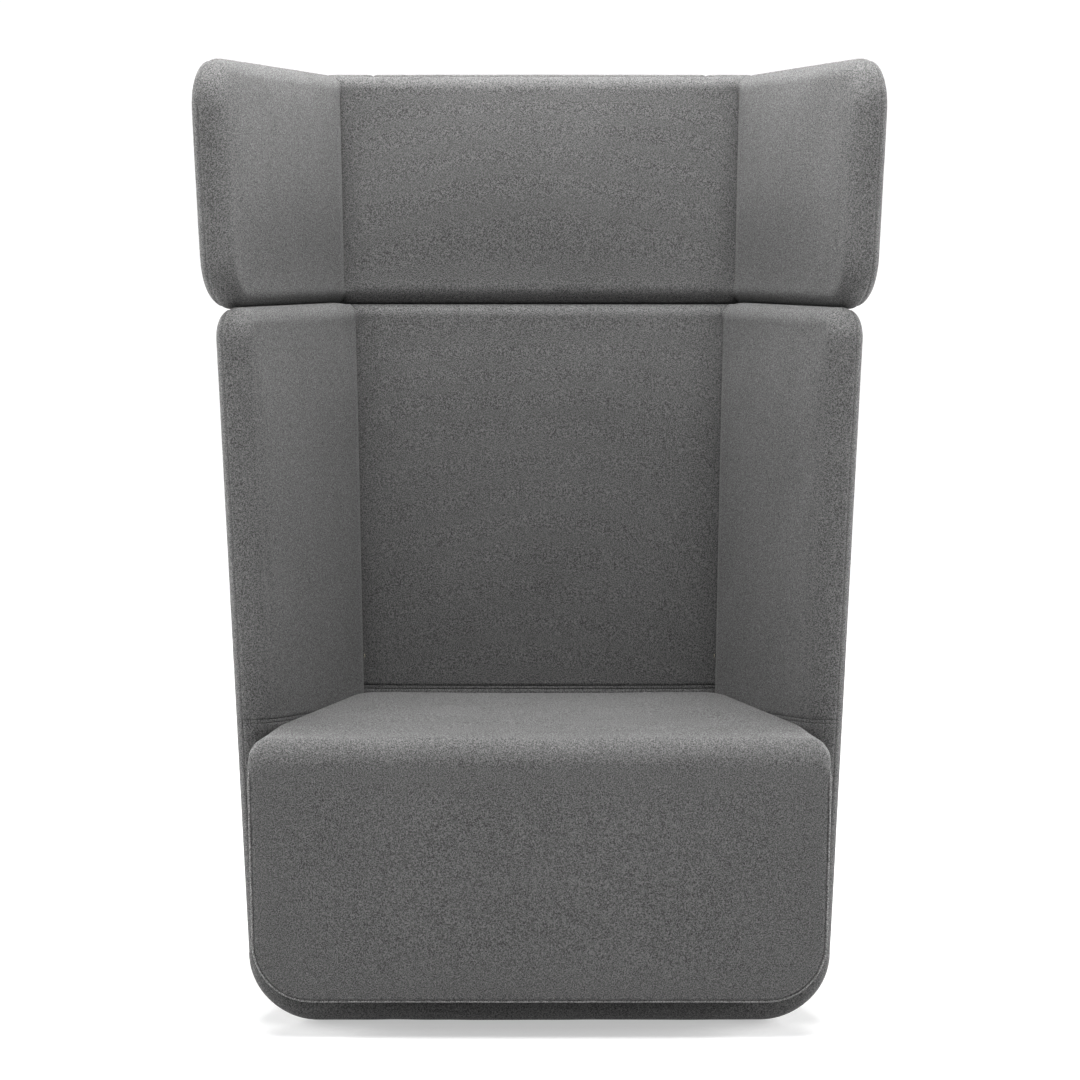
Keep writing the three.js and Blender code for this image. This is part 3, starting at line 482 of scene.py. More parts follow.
def outer_wing(wall, step):
    """The outer cover of the left wing: its flat face and round edges, then round the back corner.

    Round the corner a point lies at its centre plus the corner's radius times (cos a, sin a), with a
    from the splay to 90 degrees; then the cover runs on along the back to the back panel's seam.
    """
    patches, rear_z, q = wing_patches(wall, step, 1, corner_start, False)
    turn = math.pi / 2 - SPLAY
    count = max(int(BACK_CORNER * turn / step), 3)
    angle = SPLAY + turn * np.arange(count + 1) / count
    flat = spaced(BACK_CORNER - arc_reach() + PANEL_INSET, step, end=True)[1:]
    lengths = (BACK_CORNER - arc_reach() + PANEL_INSET) * flat

    def outline(z):
        """The plan outline at heights z, with the corner's centre."""
        sharp = wing_point(wall, HALF, back_outer(z), z)
        middle = np.stack([sharp[..., 0] - arc_reach(), sharp[..., 1] - BACK_CORNER, z], -1)[:, None]
        zero = np.zeros(count + 1)
        arc = middle + BACK_CORNER * np.stack([np.cos(angle), np.sin(angle), zero], -1)[None]
        run = arc[:, -1:] - lengths[None, :, None] * np.array([1.0, 0, 0])
        return np.concatenate([arc, run], 1), middle

    shell, middle = outline(rear_z)
    core = middle + (shell - middle) * 0.4
    core[:, count + 1:, 0] = shell[:, count + 1:, 0]
    columns = np.linspace(0, 1, shell.shape[1])
    patches.append(Patch(shell, core, q, columns))
    for level, seam, up in wall.ends():
        edge, middle = outline(np.array([level]))
        edge, middle = edge[0], middle[0]
        split = max(int(round(count * 0.3)), 1)
        joint = wing_point(wall, seam[1], back_inner(level + up * HALF) + seam[2], level + up * HALF)
        fan = np.linspace(joint[0], edge[count, 0], count + 1 - split)
        x = np.concatenate([np.full(split, joint[0]), fan, edge[count + 1:, 0]])
        aim = grid(x, joint[1], joint[2])
        share = spaced(HALF * 2, step / 2, end=True)
        way = (aim - edge) * np.array([1, 1, 0])
        spot = edge[:, None] + way[:, None] * share[None, :, None]
        distance = BACK_CORNER - np.linalg.norm((spot - middle)[..., :2], axis=-1)
        distance[count + 1:] = edge[count + 1:, None, 1] - spot[count + 1:, :, 1]
        lift = rise(HALF - distance) * up
        cover = spot.copy()
        cover[..., 2] = level + lift
        core = spot.copy()
        core[..., :2] = spot[..., :2] + way[:, None, :2] * 0.05
        patches.append(Patch(cover, core - np.array([0, 0, 3.0 * up]), columns, share))
    return patches


def inner_back(wall, step):
    """The inner cover of the back: its face, and its round edges to the seams behind it.

    Round an edge the depth grows from the face to the seam's depth; the height follows the half circle
    of the edge, and near the mitres that of the wings.
    """
    low = wall.bottom + HALF if wall.low_seam else BASE_TOP + 8
    levels = low + (wall.top - HALF - low) * spaced(wall.top - HALF - low, step)
    width = 2 * wing_point(wall, -HALF, back_inner(low), low)[0]
    share = spaced(width, step, start=True, end=True)
    across = (2 * share - 1)[:, None]
    v = (levels - low) / (levels[-1] - low)
    end = wing_point(wall, -HALF, back_inner(levels), levels)[..., 0]
    depth = back_inner(levels) - WALL_CROWN * bow(share)[:, None] * bow(v)[None]
    face = grid(across * end, depth, levels)
    patches = [Patch(face, face + np.array([0, BACK_THICKNESS / 2, 0]), share, v)]
    near_end = smooth((np.abs(across) * width / 2 - width / 2 + 60) / 60)
    for level, seam, up in wall.ends():
        angle = np.arccos(-seam[1] / HALF) * spaced(HALF * 1.6, step / 2, end=True)
        out = -HALF * np.cos(angle)
        over = (HALF + out) / (HALF + seam[1])
        mitre_z = level + up * HALF * np.sin(angle)
        y = back_inner(level) + over * (back_inner(mitre_z) + seam[2] - back_inner(level))
        own_z = level + up * rise(HALF - over * seam[2])
        z = own_z + near_end * (mitre_z - own_z)
        x = across * wing_point(wall, out, y, mitre_z)[..., 0]
        edge = grid(x, y, z)
        core = grid(x, back_inner(level) + HALF, level)
        core = core + np.maximum(edge - core, 0) * np.array([0, 1, 0])
        patches.append(Patch(edge, core, share, angle / angle[-1]))
    return patches


def outer_back(wall, step):
    """The outer cover of the back: the panel between the round corners, over the edge to the seam."""
    low = wall.bottom + (HALF if wall.low_seam else 0)
    high = wall.top - HALF
    levels = low + (high - low) * spaced(high - low, step)

    def half(z):
        """Half the panel's width at a height."""
        return wing_point(wall, HALF, back_outer(z), z)[..., 0] - BACK_CORNER - PANEL_INSET

    share = spaced(2 * half(low), step, start=True, end=True)
    across = (2 * share - 1)[:, None]
    v = (levels - low) / (high - low)
    depth = back_outer(levels) + WALL_CROWN * bow(share)[:, None] * bow(v)[None]
    face = grid(across * half(levels), depth, levels)
    patches = [Patch(face, face - np.array([0, BACK_THICKNESS / 2, 0]), share, v)]
    for level, seam, up in wall.ends():
        reach = back_outer(level) - back_inner(level + up * HALF) - seam[2]
        into = reach * spaced(reach, step / 2, end=True)
        edge = grid(across * half(level), back_outer(level) - into, level + up * rise(HALF - into))
        core = grid(edge[..., 0], np.minimum(edge[..., 1], back_outer(level) - HALF), level)
        patches.append(Patch(edge, core, share, into / reach))
    return patches


def base_half(step):
    """The left half of the base cover: the wing's foot curls in under the seat and meets its mirror image.

    In front view the foot's middle runs round a quarter circle of the curl's radius and then level to
    the middle; its edge is a half circle round that line. Behind, the outer shell narrows with the
    height by two circles: that of the curl at the sides and that of the back's bottom edge.
    """
    middle = BOTTOM_CORNER - HALF
    turns = np.linspace(0, np.pi / 2, max(int(BOTTOM_CORNER * 1.6 / step), 4) + 1)
    height = CURL - BOTTOM_CORNER * np.sin(turns)
    offset = BOTTOM_CORNER * np.cos(turns) - middle
    down = np.maximum(GLIDE_HEIGHT + BACK_BOTTOM_CORNER - height, 0)
    back_in = BACK_BOTTOM_CORNER - np.sqrt(np.maximum(BACK_BOTTOM_CORNER ** 2 - down ** 2, 0))
    radius = BACK_CORNER - back_in
    reach = radius / math.tan((math.pi / 2 + SPLAY) / 2)
    sharp = wing_point(body, offset, back_outer(height) - back_in, height)
    centre = np.stack([sharp[:, 0] - reach, sharp[:, 1] - radius, height], -1)
    start = sharp[:, 1] - reach * math.cos(SPLAY)
    along = spaced(back_outer(0), step)
    wing_y = HALF + (start - HALF)[:, None] * along[None]
    wing = wing_point(body, offset[:, None], wing_y, height[:, None])
    arc = np.linspace(SPLAY, np.pi / 2, max(int(BACK_CORNER * 1.3 / step), 3) + 1)[1:]
    ways = np.stack([np.cos(arc), np.sin(arc), 0 * arc], -1)
    corner = centre[:, None] + radius[:, None, None] * ways[None]
    level = spaced(centre[0, 0], step)[1:, None]
    back = corner[:, -1:] * np.where([True, False, False], 1 - level[None], 1)
    shell = np.concatenate([wing, corner, back], 1)
    core = grid(shell[..., 0] * 0.8, shell[..., 1] * 0.9 + 20, CURL + 8.0)
    columns = np.linspace(0, 1, shell.shape[1])
    patches = [Patch(shell, core, turns / turns[-1], columns)]

    def nose(angle, y):
        """The foot at angles round its edge (0 outside, pi inside) and depths: the curl, then its level
        part."""
        r = middle + HALF * np.cos(angle)
        curl = wing_point(body, np.cos(turns)[:, None] * r - middle, y, CURL - np.sin(turns)[:, None] * r)
        share = spaced(centre[0, 0], step)[1:, None]
        flat = grid(curl[-1:, :, 0] * (1 - share), y, CURL - r)
        line = wing_point(body, middle * np.cos(turns)[:, None] - middle, np.maximum(y, HALF),
                          CURL - middle * np.sin(turns)[:, None] + 0 * r)
        rest = grid(flat[..., 0], np.maximum(y, HALF), CURL - middle + 0 * r)
        return np.concatenate([curl, flat]), np.concatenate([line, rest])

    round_turn = np.linspace(0, np.pi, max(int(HALF * np.pi * 2 / step), 8) + 1)
    points, line = nose(round_turn, HALF - HALF * np.sin(round_turn))
    rows = np.linspace(0, 1, len(points))
    patches.append(Patch(points, line, rows, round_turn / np.pi))
    inner_y = HALF + (back_inner(0) - 2 - HALF) * spaced(back_inner(0), step * 2)
    points, line = nose(np.full(len(inner_y), np.pi), inner_y)
    patches.append(Patch(points, line, rows, (inner_y - HALF) / (inner_y[-1] - HALF)))

    front_x = wing[-1, :1, 0] * (1 - spaced(wing[-1, 0, 0], step)[::-1])
    front = grid(front_x, HALF, GLIDE_HEIGHT)[:-1]
    loop = np.concatenate([front, shell[-1]])
    near, away, inset = 70, BACK_AT_FLOOR - 10, -middle - 20
    hole_y = near + (away - near) * along
    side = wing_point(body, inset, hole_y, GLIDE_HEIGHT)
    side[:, 2] = GLIDE_HEIGHT
    hole_front = side[:1] * np.where([True, False, False], front_x[:-1, None] / wing[-1, 0, 0], 1)
    hole_corner = np.repeat(side[-1:], len(arc), 0)
    hole_back = side[-1:] * np.where([True, False, False], 1 - level, 1)
    hole = np.concatenate([hole_front, side, hole_corner, hole_back])
    share = np.linspace(0, 1, 8)[:, None, None]
    under = loop[None] + (hole - loop)[None] * share
    over = under + np.array([0, 0, 20.0])
    patches.append(Patch(under, over, share[:, 0, 0], np.linspace(0, 1, len(loop))))
    return patches


def base(step):
    """The whole base cover."""
    half = base_half(step)
    return half + mirrored(half)


def mirrored(patches):
    """The mirror image of patches, on the sitter's right."""
    flip = np.array([-1, 1, 1])
    return [Patch(p.points * flip, p.core * flip, p.rows, p.columns) for p in patches]


# The seat block

def seat_back(z):
    """The depth of the seat block's back face at a height."""
    return back_inner(z) - SEAT_CLEARANCE - WALL_CROWN


def seat_half_width(y, z):
    """Half the block's width: held between the wings, and free once it has come most of the way out."""
    free = smooth(-y / (SEAT_REACH * 0.8))
    held = wing_point(body, -HALF, y, z)[..., 0] - SEAT_CLEARANCE - WALL_CROWN
    loose = wing_point(body, -HALF, y, SEAT_TOP)[..., 0] - 0.02 * (SEAT_TOP - z)
    return held + (loose - held) * free


def drawn_in(radius, depth):
    """How far a round edge of a radius is drawn in at a distance behind its face."""
    left = np.maximum(radius - depth, 0)
    return radius - np.sqrt(radius ** 2 - left ** 2)


def seat_rings(step):
    """The block's sections from front to back, each a ring from the middle of its bottom, and the counts.

    A section has a bottom and a top edge of their corners' radii; the front face's rim and the top's
    front edge draw it in by quarter circles, and the top has a low crown. Between the wings the top's
    side edges are squeezed up and are tighter. Far back, the sections lean to follow the chair's back.
    """
    fine = np.array([0, 0.6, 1.4, 2.6, 4.1, 6, 8.5, 11, SEAT_RIM, 18, 22, 27, SEAT_TOP_FRONT, 41])
    if step > STEP:
        fine = np.array([0, 4.1, SEAT_RIM, 24, SEAT_TOP_FRONT, 45])
    total = seat_back(SEAT_TOP) - SEAT_FACE
    depth = np.concatenate([fine, np.linspace(fine[-1], total, int((total - fine[-1]) / step) + 1)[1:]])
    depth = depth[:, None]
    y = SEAT_FACE + depth
    top = SEAT_TOP - drawn_in(SEAT_TOP_FRONT, depth)
    side = drawn_in(SEAT_RIM, depth)
    bottom = SEAT_BOTTOM + side
    low_radius = SEAT_BOTTOM_CORNER - side
    low = seat_half_width(y, bottom + low_radius) - side
    high = seat_half_width(y, top - SEAT_TOP_CORNER) - side
    share = np.clip((y - SEAT_FACE) / total, 0, 1)
    crown = SEAT_CROWN * np.sin(np.pi * np.minimum(share + 0.08, 1))
    squeezed = smooth((y - SQUEEZE_FROM) / SQUEEZE_RUN)
    top_corner = SEAT_TOP_CORNER + (SEAT_TOP_PINCH - SEAT_TOP_CORNER) * squeezed
    side_lift = SEAT_SIDE_LIFT * squeezed * (1 - 0.75 * smooth((y - EASE_FROM) / EASE_RUN))
    side_top = top + side_lift
    counts = [max(int(length / step), 3) for length in SEAT_RUNS]
    t = np.linspace(0, 1, counts[0] + 1)[None, :-1]
    parts = [((low - low_radius) * t, bottom + 0 * t)]
    turn = np.linspace(-np.pi / 2, 0, counts[1] + 1)[None, :-1]
    parts.append((low - low_radius + low_radius * np.cos(turn), bottom + low_radius * (1 + np.sin(turn))))
    t = np.linspace(0, 1, counts[2] + 1)[None, :-1]
    run = side_top - top_corner - bottom - low_radius
    parts.append((low + (high - low) * t, bottom + low_radius + run * t))
    turn = np.linspace(0, np.pi / 2, counts[3] + 1)[None, :-1]
    parts.append((high - top_corner * (1 - np.cos(turn)), side_top - top_corner * (1 - np.sin(turn))))
    t = np.linspace(1, 0, counts[4] + 1)[None]
    parts.append(((high - top_corner) * t, side_top + (crown - side_lift) * (1 - t ** 2)))
    x = np.concatenate([p[0] + 0 * depth for p in parts], 1)
    z = np.concatenate([p[1] + 0 * depth for p in parts], 1)
    y = np.broadcast_to(y, x.shape)
    lean_from = SEAT_LEAN_FROM + SEAT_FACE
    leaning = lean_from + (y - lean_from) * (seat_back(z) - lean_from) / (seat_back(SEAT_TOP) - lean_from)
    y_new = np.where(y > lean_from, leaning, y)
    x = x * seat_half_width(y_new, z) / seat_half_width(y, z)
    right = np.stack([x, y_new, z], -1)
    left = right[:, -2:0:-1] * np.array([-1, 1, 1])
    return np.concatenate([right, left, right[:, :1]], 1), depth[:, 0], counts


def seat_block(step):
    """The block as one closed pad: its crowned front face, its rings and its back face."""
    rings, depth, _ = seat_rings(step)
    centre = np.array([0, 0, (SEAT_TOP + SEAT_BOTTOM) / 2])
    inward = np.linspace(0, 1, max(int(160 / step), 4) + 1)[:, None, None]

    def cap(ring, out):
        """The ring drawn together to the centre, crowned by out times (1 - share squared)."""
        points = centre + (ring[None] - centre) * np.where([True, False, True], inward, 1)
        points[..., 1] = points[..., 1] - out * (1 - inward[..., 0] ** 2)
        return points

    def back_face(ring):
        """The ring drawn together on the plane of the back."""
        points = centre + (ring[None] - centre) * np.where([True, False, True], 1 - inward, 1)
        points[..., 1] = seat_back(points[..., 2])
        return points

    shell = np.concatenate([cap(rings[0], SEAT_FACE_CROWN)[:-1], rings, back_face(rings[-1])[1:]])
    core = grid(shell[..., 0] * 0.7, np.clip(shell[..., 1], SEAT_FACE + 60, 300), centre[2])
    rows = np.concatenate([-1 + inward[:-1, 0, 0], depth / depth[-1], 1 + inward[1:, 0, 0]])
    return [Patch(shell, core, rows, np.linspace(0, 1, shell.shape[1]))]


# Meshes

def weld(patches):
    """One mesh from patches: points that fall together become one and every face turns outwards."""
    points = np.concatenate([p.points.reshape(-1, 3) for p in patches])
    cores = np.concatenate([p.core.reshape(-1, 3) for p in patches])
    keys = np.round(points / 0.02 + 0.137).astype(np.int64)
    _, first, index = np.unique(keys, axis=0, return_index=True, return_inverse=True)
    index = index.ravel()
    quads = []
    start = 0
    for p in patches:
        rows, columns = p.points.shape[:2]
        a = start + np.arange(rows - 1)[:, None] * columns + np.arange(columns - 1)[None]
        quads.append(np.stack([a, a + columns, a + columns + 1, a + 1], -1).reshape(-1, 4))
        start += rows * columns
    quads = np.concatenate(quads)
    corner = points[quads]
    normal = np.cross(corner[:, 2] - corner[:, 0], corner[:, 3] - corner[:, 1])
    flip = np.einsum("ij,ij->i", normal, (corner - cores[quads]).mean(1)) < 0
    quads[flip] = quads[flip][:, ::-1]
    return points[first], index[quads], index


def clean_faces(quads):
    """Quads as lists, with those that have shrunk to a triangle or to nothing mended or left out."""
    same = quads == np.roll(quads, -1, axis=1)
    good = quads[~same.any(1)].tolist()
    single = (same.sum(1) == 1) & (quads[:, 0] != quads[:, 2]) & (quads[:, 1] != quads[:, 3])
    thin, where = quads[single], same[single]
    keep = thin[~where].reshape(-1, 3).tolist()
    return good + keep


def vertex_normals(points, quads):
    """Normals at the points: the sum of the crossed diagonals of the faces round them."""
    corner = points[quads]
    normal = np.cross(corner[:, 2] - corner[:, 0], corner[:, 3] - corner[:, 1])
    total = np.zeros_like(points)
    for k in range(4):
        np.add.at(total, quads[:, k], normal)
    return total / np.maximum(np.linalg.norm(total, axis=1), 1e-9)[:, None]


def border_edges(quads):
    """The edges that only one face has, as pairs of points."""
    edges = np.stack([quads, np.roll(quads, -1, axis=1)], -1).reshape(-1, 2)
    edges = edges[edges[:, 0] != edges[:, 1]]
    edges = np.sort(edges, axis=1)
    found, count = np.unique(edges, axis=0, return_counts=True)
    return found[count == 1]


def distance_to(points, starts, ends):
    """The distance from each point to the nearest of some straight pieces."""
    way = ends - starts
    square = np.maximum((way ** 2).sum(1), 1e-9)
    nearest = np.empty(len(points))
    for begin in range(0, len(points), 1500):
        part = points[begin:begin + 1500]
        share = np.clip(((part[:, None] - starts[None]) * way[None]).sum(-1) / square, 0, 1)
        gap = part[:, None] - starts[None] - share[..., None] * way[None]
        nearest[begin:begin + 1500] = np.sqrt((gap ** 2).sum(-1)).min(1)
    return nearest


def placed(points):
    """Millimetres in the chair's measures as metres in the frame."""
    return (points + np.array([0, DEPTH_SHIFT, 0])) * MM


def new_mesh(name, points, faces, smooth_faces=True):
    """A mesh in the frame from points in millimetres."""
    mesh = bpy.data.meshes.new(name)
    mesh.from_pydata(placed(points).tolist(), [], faces)
    mesh.validate()
    mesh.polygons.foreach_set("use_smooth", np.full(len(mesh.polygons), smooth_faces))
    mesh.update()
    return mesh


def new_piece(name, mesh):
    """An object of a mesh, at the origin and riding on the chair's one body."""
    piece = bpy.data.objects.new(name, mesh)
    bpy.context.scene.collection.objects.link(piece)
    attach(piece, "root")
    return piece


def spread(values, places, targets, reach):
    """Values at places, averaged at targets with the weight exp(-(distance / reach) squared)."""
    result = np.empty((len(targets), values.shape[1]))
    for begin in range(0, len(targets), 500):
        part = targets[begin:begin + 500]
        square = ((part[:, None] - places[None]) ** 2).sum(-1)
        weight = np.exp(-(square - square.min(1)[:, None]) / reach ** 2)
        result[begin:begin + 500] = weight @ values / weight.sum(1)[:, None]
    return result


def mesh_points(mesh):
    """A mesh's points in millimetres, in the chair's measures."""
    flat = np.empty(len(mesh.vertices) * 3)
    mesh.vertices.foreach_get("co", flat)
    return flat.reshape(-1, 3) / MM - np.array([0, DEPTH_SHIFT, 0])


def evaluated(piece):
    """The object as its modifiers leave it."""
    return piece.evaluated_get(bpy.context.evaluated_depsgraph_get())


def even_cells(pattern):
    """Gives a closed block a mesh of even cells; its points."""
    cells = pattern.modifiers.new("cells", "REMESH")
    cells.mode = "VOXEL"
    cells.voxel_size = SIM_STEP * MM
    mesh = bpy.data.meshes.new_from_object(evaluated(pattern))
    pattern.modifiers.remove(cells)
    pattern.data = mesh
    return mesh_points(mesh)


def filled_cloth(pattern, pins, pressure):
    """Runs a mesh as cloth that is held at some points and filled from behind; where its points end."""
    pattern.vertex_groups.new(name="seams").add(pins.tolist(), 1.0, "REPLACE")
    cloth = pattern.modifiers.new("cloth", "CLOTH")
    settings = cloth.settings
    settings.quality = 6
    settings.mass = 0.3
    settings.vertex_group_mass = "seams"
    settings.use_pressure = True
    settings.uniform_pressure_force = pressure
    settings.shrink_min = 0.004
    settings.tension_stiffness = SIM_STIFFNESS
    settings.compression_stiffness = SIM_STIFFNESS
    settings.bending_stiffness = SIM_BENDING
    settings.effector_weights.gravity = 0
    cloth.collision_settings.use_self_collision = False
    cloth.point_cache.frame_start = 1
    cloth.point_cache.frame_end = SIM_FRAMES
    scene = bpy.context.scene
    for number in range(1, SIM_FRAMES + 1):
        scene.frame_set(number)
    ended = mesh_points(evaluated(pattern).to_mesh())
    pattern.to_mesh_clear()
    bpy.data.objects.remove(pattern)
    scene.frame_set(1)
    return ended


def simulate(patches, pressure, held):
    """How far each patch's points move when the cover is sewn down along its seams and filled from behind.

    held(points) tells what stays put on a closed block; None stands for an open cover, which is held at
    its border. Only the movement out along the normals is kept, evened out, eased off near the joint of
    the hood and the body, and capped: cap times tanh(out / cap)."""
    points, quads, index = weld(patches)
    border = np.unique(border_edges(quads))
    pattern = bpy.data.objects.new("pattern", new_mesh("pattern", points, clean_faces(quads)))
    bpy.context.scene.collection.objects.link(pattern)
    if held:
        cells = even_cells(pattern)
        shift = filled_cloth(pattern, np.flatnonzero(held(cells)), pressure) - cells
        shift = spread(shift, cells, points, SIM_STEP * 1.5)
    else:
        shift = filled_cloth(pattern, border, pressure) - points
    normals = vertex_normals(points, quads)
    out = np.maximum(np.einsum("ij,ij->i", shift, normals), 0)
    fixed = np.isin(np.arange(len(points)), border)
    out = relax(out[:, None] * np.ones(3), quads, fixed, BLOCK_ROUNDS if held else COVER_ROUNDS)[:, 0]
    cap = BLOCK_CAP if held else SIM_CAP
    shift = normals * (cap * np.tanh(out / cap) * off_joint(points, *FILL_EASE))[:, None]
    parts = []
    start = 0
    for p in patches:
        count = p.points.shape[0] * p.points.shape[1]
        parts.append(shift[index[start:start + count]].reshape(p.points.shape))
        start += count
    return parts


def resample(values, rows, columns, new_rows, new_columns):
    """A grid's values at other rows' and columns' shares, straight between its own."""
    by_row = np.stack([np.interp(new_rows, rows, unit) for unit in np.eye(len(rows))], -1)
    by_column = np.stack([np.interp(new_columns, columns, unit) for unit in np.eye(len(columns))], -1)
    return np.einsum("ai,ijk,bj->abk", by_row, values, by_column)


def relax(values, quads, fixed, rounds):
    """Values at points, evened out over their neighbours a number of times; fixed points keep theirs."""
    edges = np.stack([quads, np.roll(quads, -1, axis=1)], -1).reshape(-1, 2)
    edges = np.unique(np.sort(edges[edges[:, 0] != edges[:, 1]], axis=1), axis=0)
    both = np.concatenate([edges, edges[:, ::-1]])
    at, beside = both.T
    count = np.bincount(at, minlength=len(values))[:, None]
    for _ in range(rounds):
        total = np.stack([np.bincount(at, values[beside, k], len(values)) for k in range(3)], -1)
        values = np.where(fixed[:, None], values, 0.4 * values + 0.6 * total / np.maximum(count, 1))
    return values


# Materials

class Value:
    """A number in a material, so that its sums read as they are written."""

    def __init__(self, tree, socket):
        self.tree = tree
        self.socket = socket

    def math(self, operation, *others):
        """Any sum of this value and others."""
        made = self.tree.nodes.new("ShaderNodeMath")
        made.operation = operation
        for slot, value in zip(made.inputs, (self, *others)):
            feed(self.tree, slot, value)
        return Value(self.tree, made.outputs[0])

    def __add__(self, other):
        return self.math("ADD", other)

    def __sub__(self, other):
        return self.math("SUBTRACT", other)

    def __mul__(self, other):
        return self.math("MULTIPLY", other)

    def __rsub__(self, other):
        return (self * -1) + other

    __radd__ = __add__
    __rmul__ = __mul__

    def band(self, low, high):
        """0 below low, 1 above high and a soft step between them."""
        made = self.tree.nodes.new("ShaderNodeMapRange")
        made.interpolation_type = "SMOOTHSTEP"
        for name, value in (("Value", self), ("From Min", low), ("From Max", high)):
            feed(self.tree, made.inputs[name], value)
        return Value(self.tree, made.outputs["Result"])


def feed(tree, slot, value):
    """Sets an input to a number, a colour or a socket."""
    if isinstance(value, Value):
        value = value.socket
    if isinstance(value, bpy.types.NodeSocket):
        tree.links.new(value, slot)
    else:
        slot.default_value = value


class Finish:
    """A material with one principled shader, and the nodes that feed it."""

    def __init__(self, name, **fixed):
        self.material = bpy.data.materials.new(name)
        self.material.use_nodes = True
        self.tree = self.material.node_tree
        self.shader = self.tree.nodes["Principled BSDF"]
        for key, value in fixed.items():
            self.shader.inputs[key.replace("_", " ")].default_value = value
        self.place = self.node("ShaderNodeTexCoord", "Object")

    def node(self, kind, output, settings=(), **inputs):
        """Any other kind of node: its output, with its settings and inputs given by name."""
        made = self.tree.nodes.new(kind)
        for key, value in dict(settings).items():
            setattr(made, key, value)
        for key, value in inputs.items():
            feed(self.tree, made.inputs[key.replace("_", " ")], value)
        return made.outputs[output]

    def parts(self):
        """The object coordinates as three values, in metres."""
        made = self.tree.nodes.new("ShaderNodeSeparateXYZ")
        self.tree.links.new(self.place, made.inputs[0])
        return [Value(self.tree, made.outputs[k]) for k in range(3)]

    def scaled(self, factors):
        """The object coordinates times three factors."""
        made = self.tree.nodes.new("ShaderNodeVectorMath")
        made.operation = "MULTIPLY"
        self.tree.links.new(self.place, made.inputs[0])
        made.inputs[1].default_value = factors
        return made.outputs[0]

    def noise(self, scale, detail=2.0, roughness=0.5, vector=None):
        """Soft noise from 0 to 1."""
        socket = self.node("ShaderNodeTexNoise", 0, Vector=vector or self.place, Scale=scale, Detail=detail,
                           Roughness=roughness)
        return Value(self.tree, socket)

    def mix(self, share, low, high):
        """A colour between two others."""
        made = self.tree.nodes.new("ShaderNodeMix")
        made.data_type = "RGBA"
        feed(self.tree, made.inputs[0], share)
        feed(self.tree, made.inputs[6], low)
        feed(self.tree, made.inputs[7], high)
        return made.outputs[2]

    def set(self, key, value):
        """Sets an input of the shader."""
        feed(self.tree, self.shader.inputs[key], value)

    def bump(self, height, depth, strength=1.0):
        """Relief of a height from 0 to 1 times a depth in metres."""
        made = self.tree.nodes.new("ShaderNodeBump")
        made.inputs["Strength"].default_value = strength
        made.inputs["Distance"].default_value = depth
        feed(self.tree, made.inputs["Height"], height)
        self.tree.links.new(made.outputs[0], self.shader.inputs["Normal"])


def grey(level, warmth=0.0):
    """A grey of a linear level, a little warmer in red and cooler in blue."""
    return (level * (1 + warmth), level, level * (1 - warmth), 1)


def fabric_finish(name, seam=None, slope=0.0, pull=1.0, light=FABRIC_LIGHT):
    """Melange wool felt: light and dark fibres in soft clumps, a short nap and a little unevenness.

    One with a seam has the tuck seam's groove and two rows of stitches, at the seam's height less the
    slope times the depth; pull is how hard they pull."""
    made = Finish(name, Roughness=0.92, Sheen_Weight=0.12, Sheen_Roughness=0.5, Specular_IOR_Level=0.15)
    clumps = made.noise(FABRIC_CLUMPS, 2.0, 0.6, made.scaled((1, 0.3, 1)))
    fibres = made.noise(FABRIC_FIBRES, 2.0, 0.6, made.scaled((1, 1, 0.35)))
    other = made.noise(FABRIC_FIBRES, 2.0, 0.6, made.scaled((0.35, 0.35, 1)))
    cloud = made.noise(7, 2.0, 0.5)
    tone = clumps * 0.9 + fibres * 0.5 + other * 0.5 - 0.45
    # light is the light fibres' colour; a higher one, as on the seat's raised seam, paints a highlight into
    # the fabric
    shade = made.mix(tone.band(0.22, 0.78), grey(FABRIC_DARK, 0.004), grey(light, 0.004))
    shade = made.mix(cloud.band(0.25, 0.75), shade, made.mix(0.06, shade, grey(0.3)))
    height = clumps * 0.5 + fibres * 0.25 + other * 0.25
    if seam:
        _, y, z = made.parts()
        off = (z + y * slope - (seam + slope * DEPTH_SHIFT) * MM).math("ABSOLUTE")
        rows = 1 - (off - STITCH_PLACE).math("ABSOLUTE").band(0.0, STITCH_WIDTH)
        shade = made.mix(rows * (0.5 * pull), shade, grey(0.03))
        height = height - rows * (1.6 * pull) - (1 - off.band(0.0, GROOVE_WIDTH)) * (2.5 * pull)
    made.set("Base Color", shade)
    made.bump(height, 0.0006, 0.7)
    return made.material


def wood_finish(name, dark, light, layered):
    """Raw wood: fibres along the piece, broad figure and, where it's layered, thin plies on every side."""
    made = Finish(name, Roughness=0.62, Specular_IOR_Level=0.3)
    figure = made.noise(9, 4.0, 0.6, made.scaled((1, 1, 0.12)))
    fibre = made.noise(420, 3.0, 0.7, made.scaled((1, 1, 0.05)))
    tone = figure * 0.7 + fibre * 0.5 - 0.1
    shade = made.mix(tone.band(0.2, 0.8), dark, light)
    if layered:
        x, y, _ = made.parts()
        plies = ((x * 0.97 + y * 0.23) * 2200).math("SINE") * 0.5 + 0.5
        shade = made.mix(plies.band(0.35, 0.65) * 0.12, shade, dark)
    made.set("Base Color", shade)
    made.set("Roughness", fibre * 0.2 + 0.5)
    made.bump(fibre, 0.0002, 0.5)
    return made.material


def foam_finish():
    """Cut foam: cream, with open cells and a touch of yellowing."""
    made = Finish("foam", Roughness=0.95, Specular_IOR_Level=0.1)
    cells = Value(made.tree, made.node("ShaderNodeTexVoronoi", "Distance", Vector=made.place, Scale=700.0))
    cloud = made.noise(12, 2.0)
    shade = made.mix(cloud.band(0.3, 0.7), (0.78, 0.72, 0.55, 1), (0.85, 0.81, 0.68, 1))
    made.set("Base Color", made.mix(cells.band(0.0, 0.6) * 0.35, (0.5, 0.46, 0.35, 1), shade))
    made.bump(cells, 0.0006, 0.6)
    return made.material


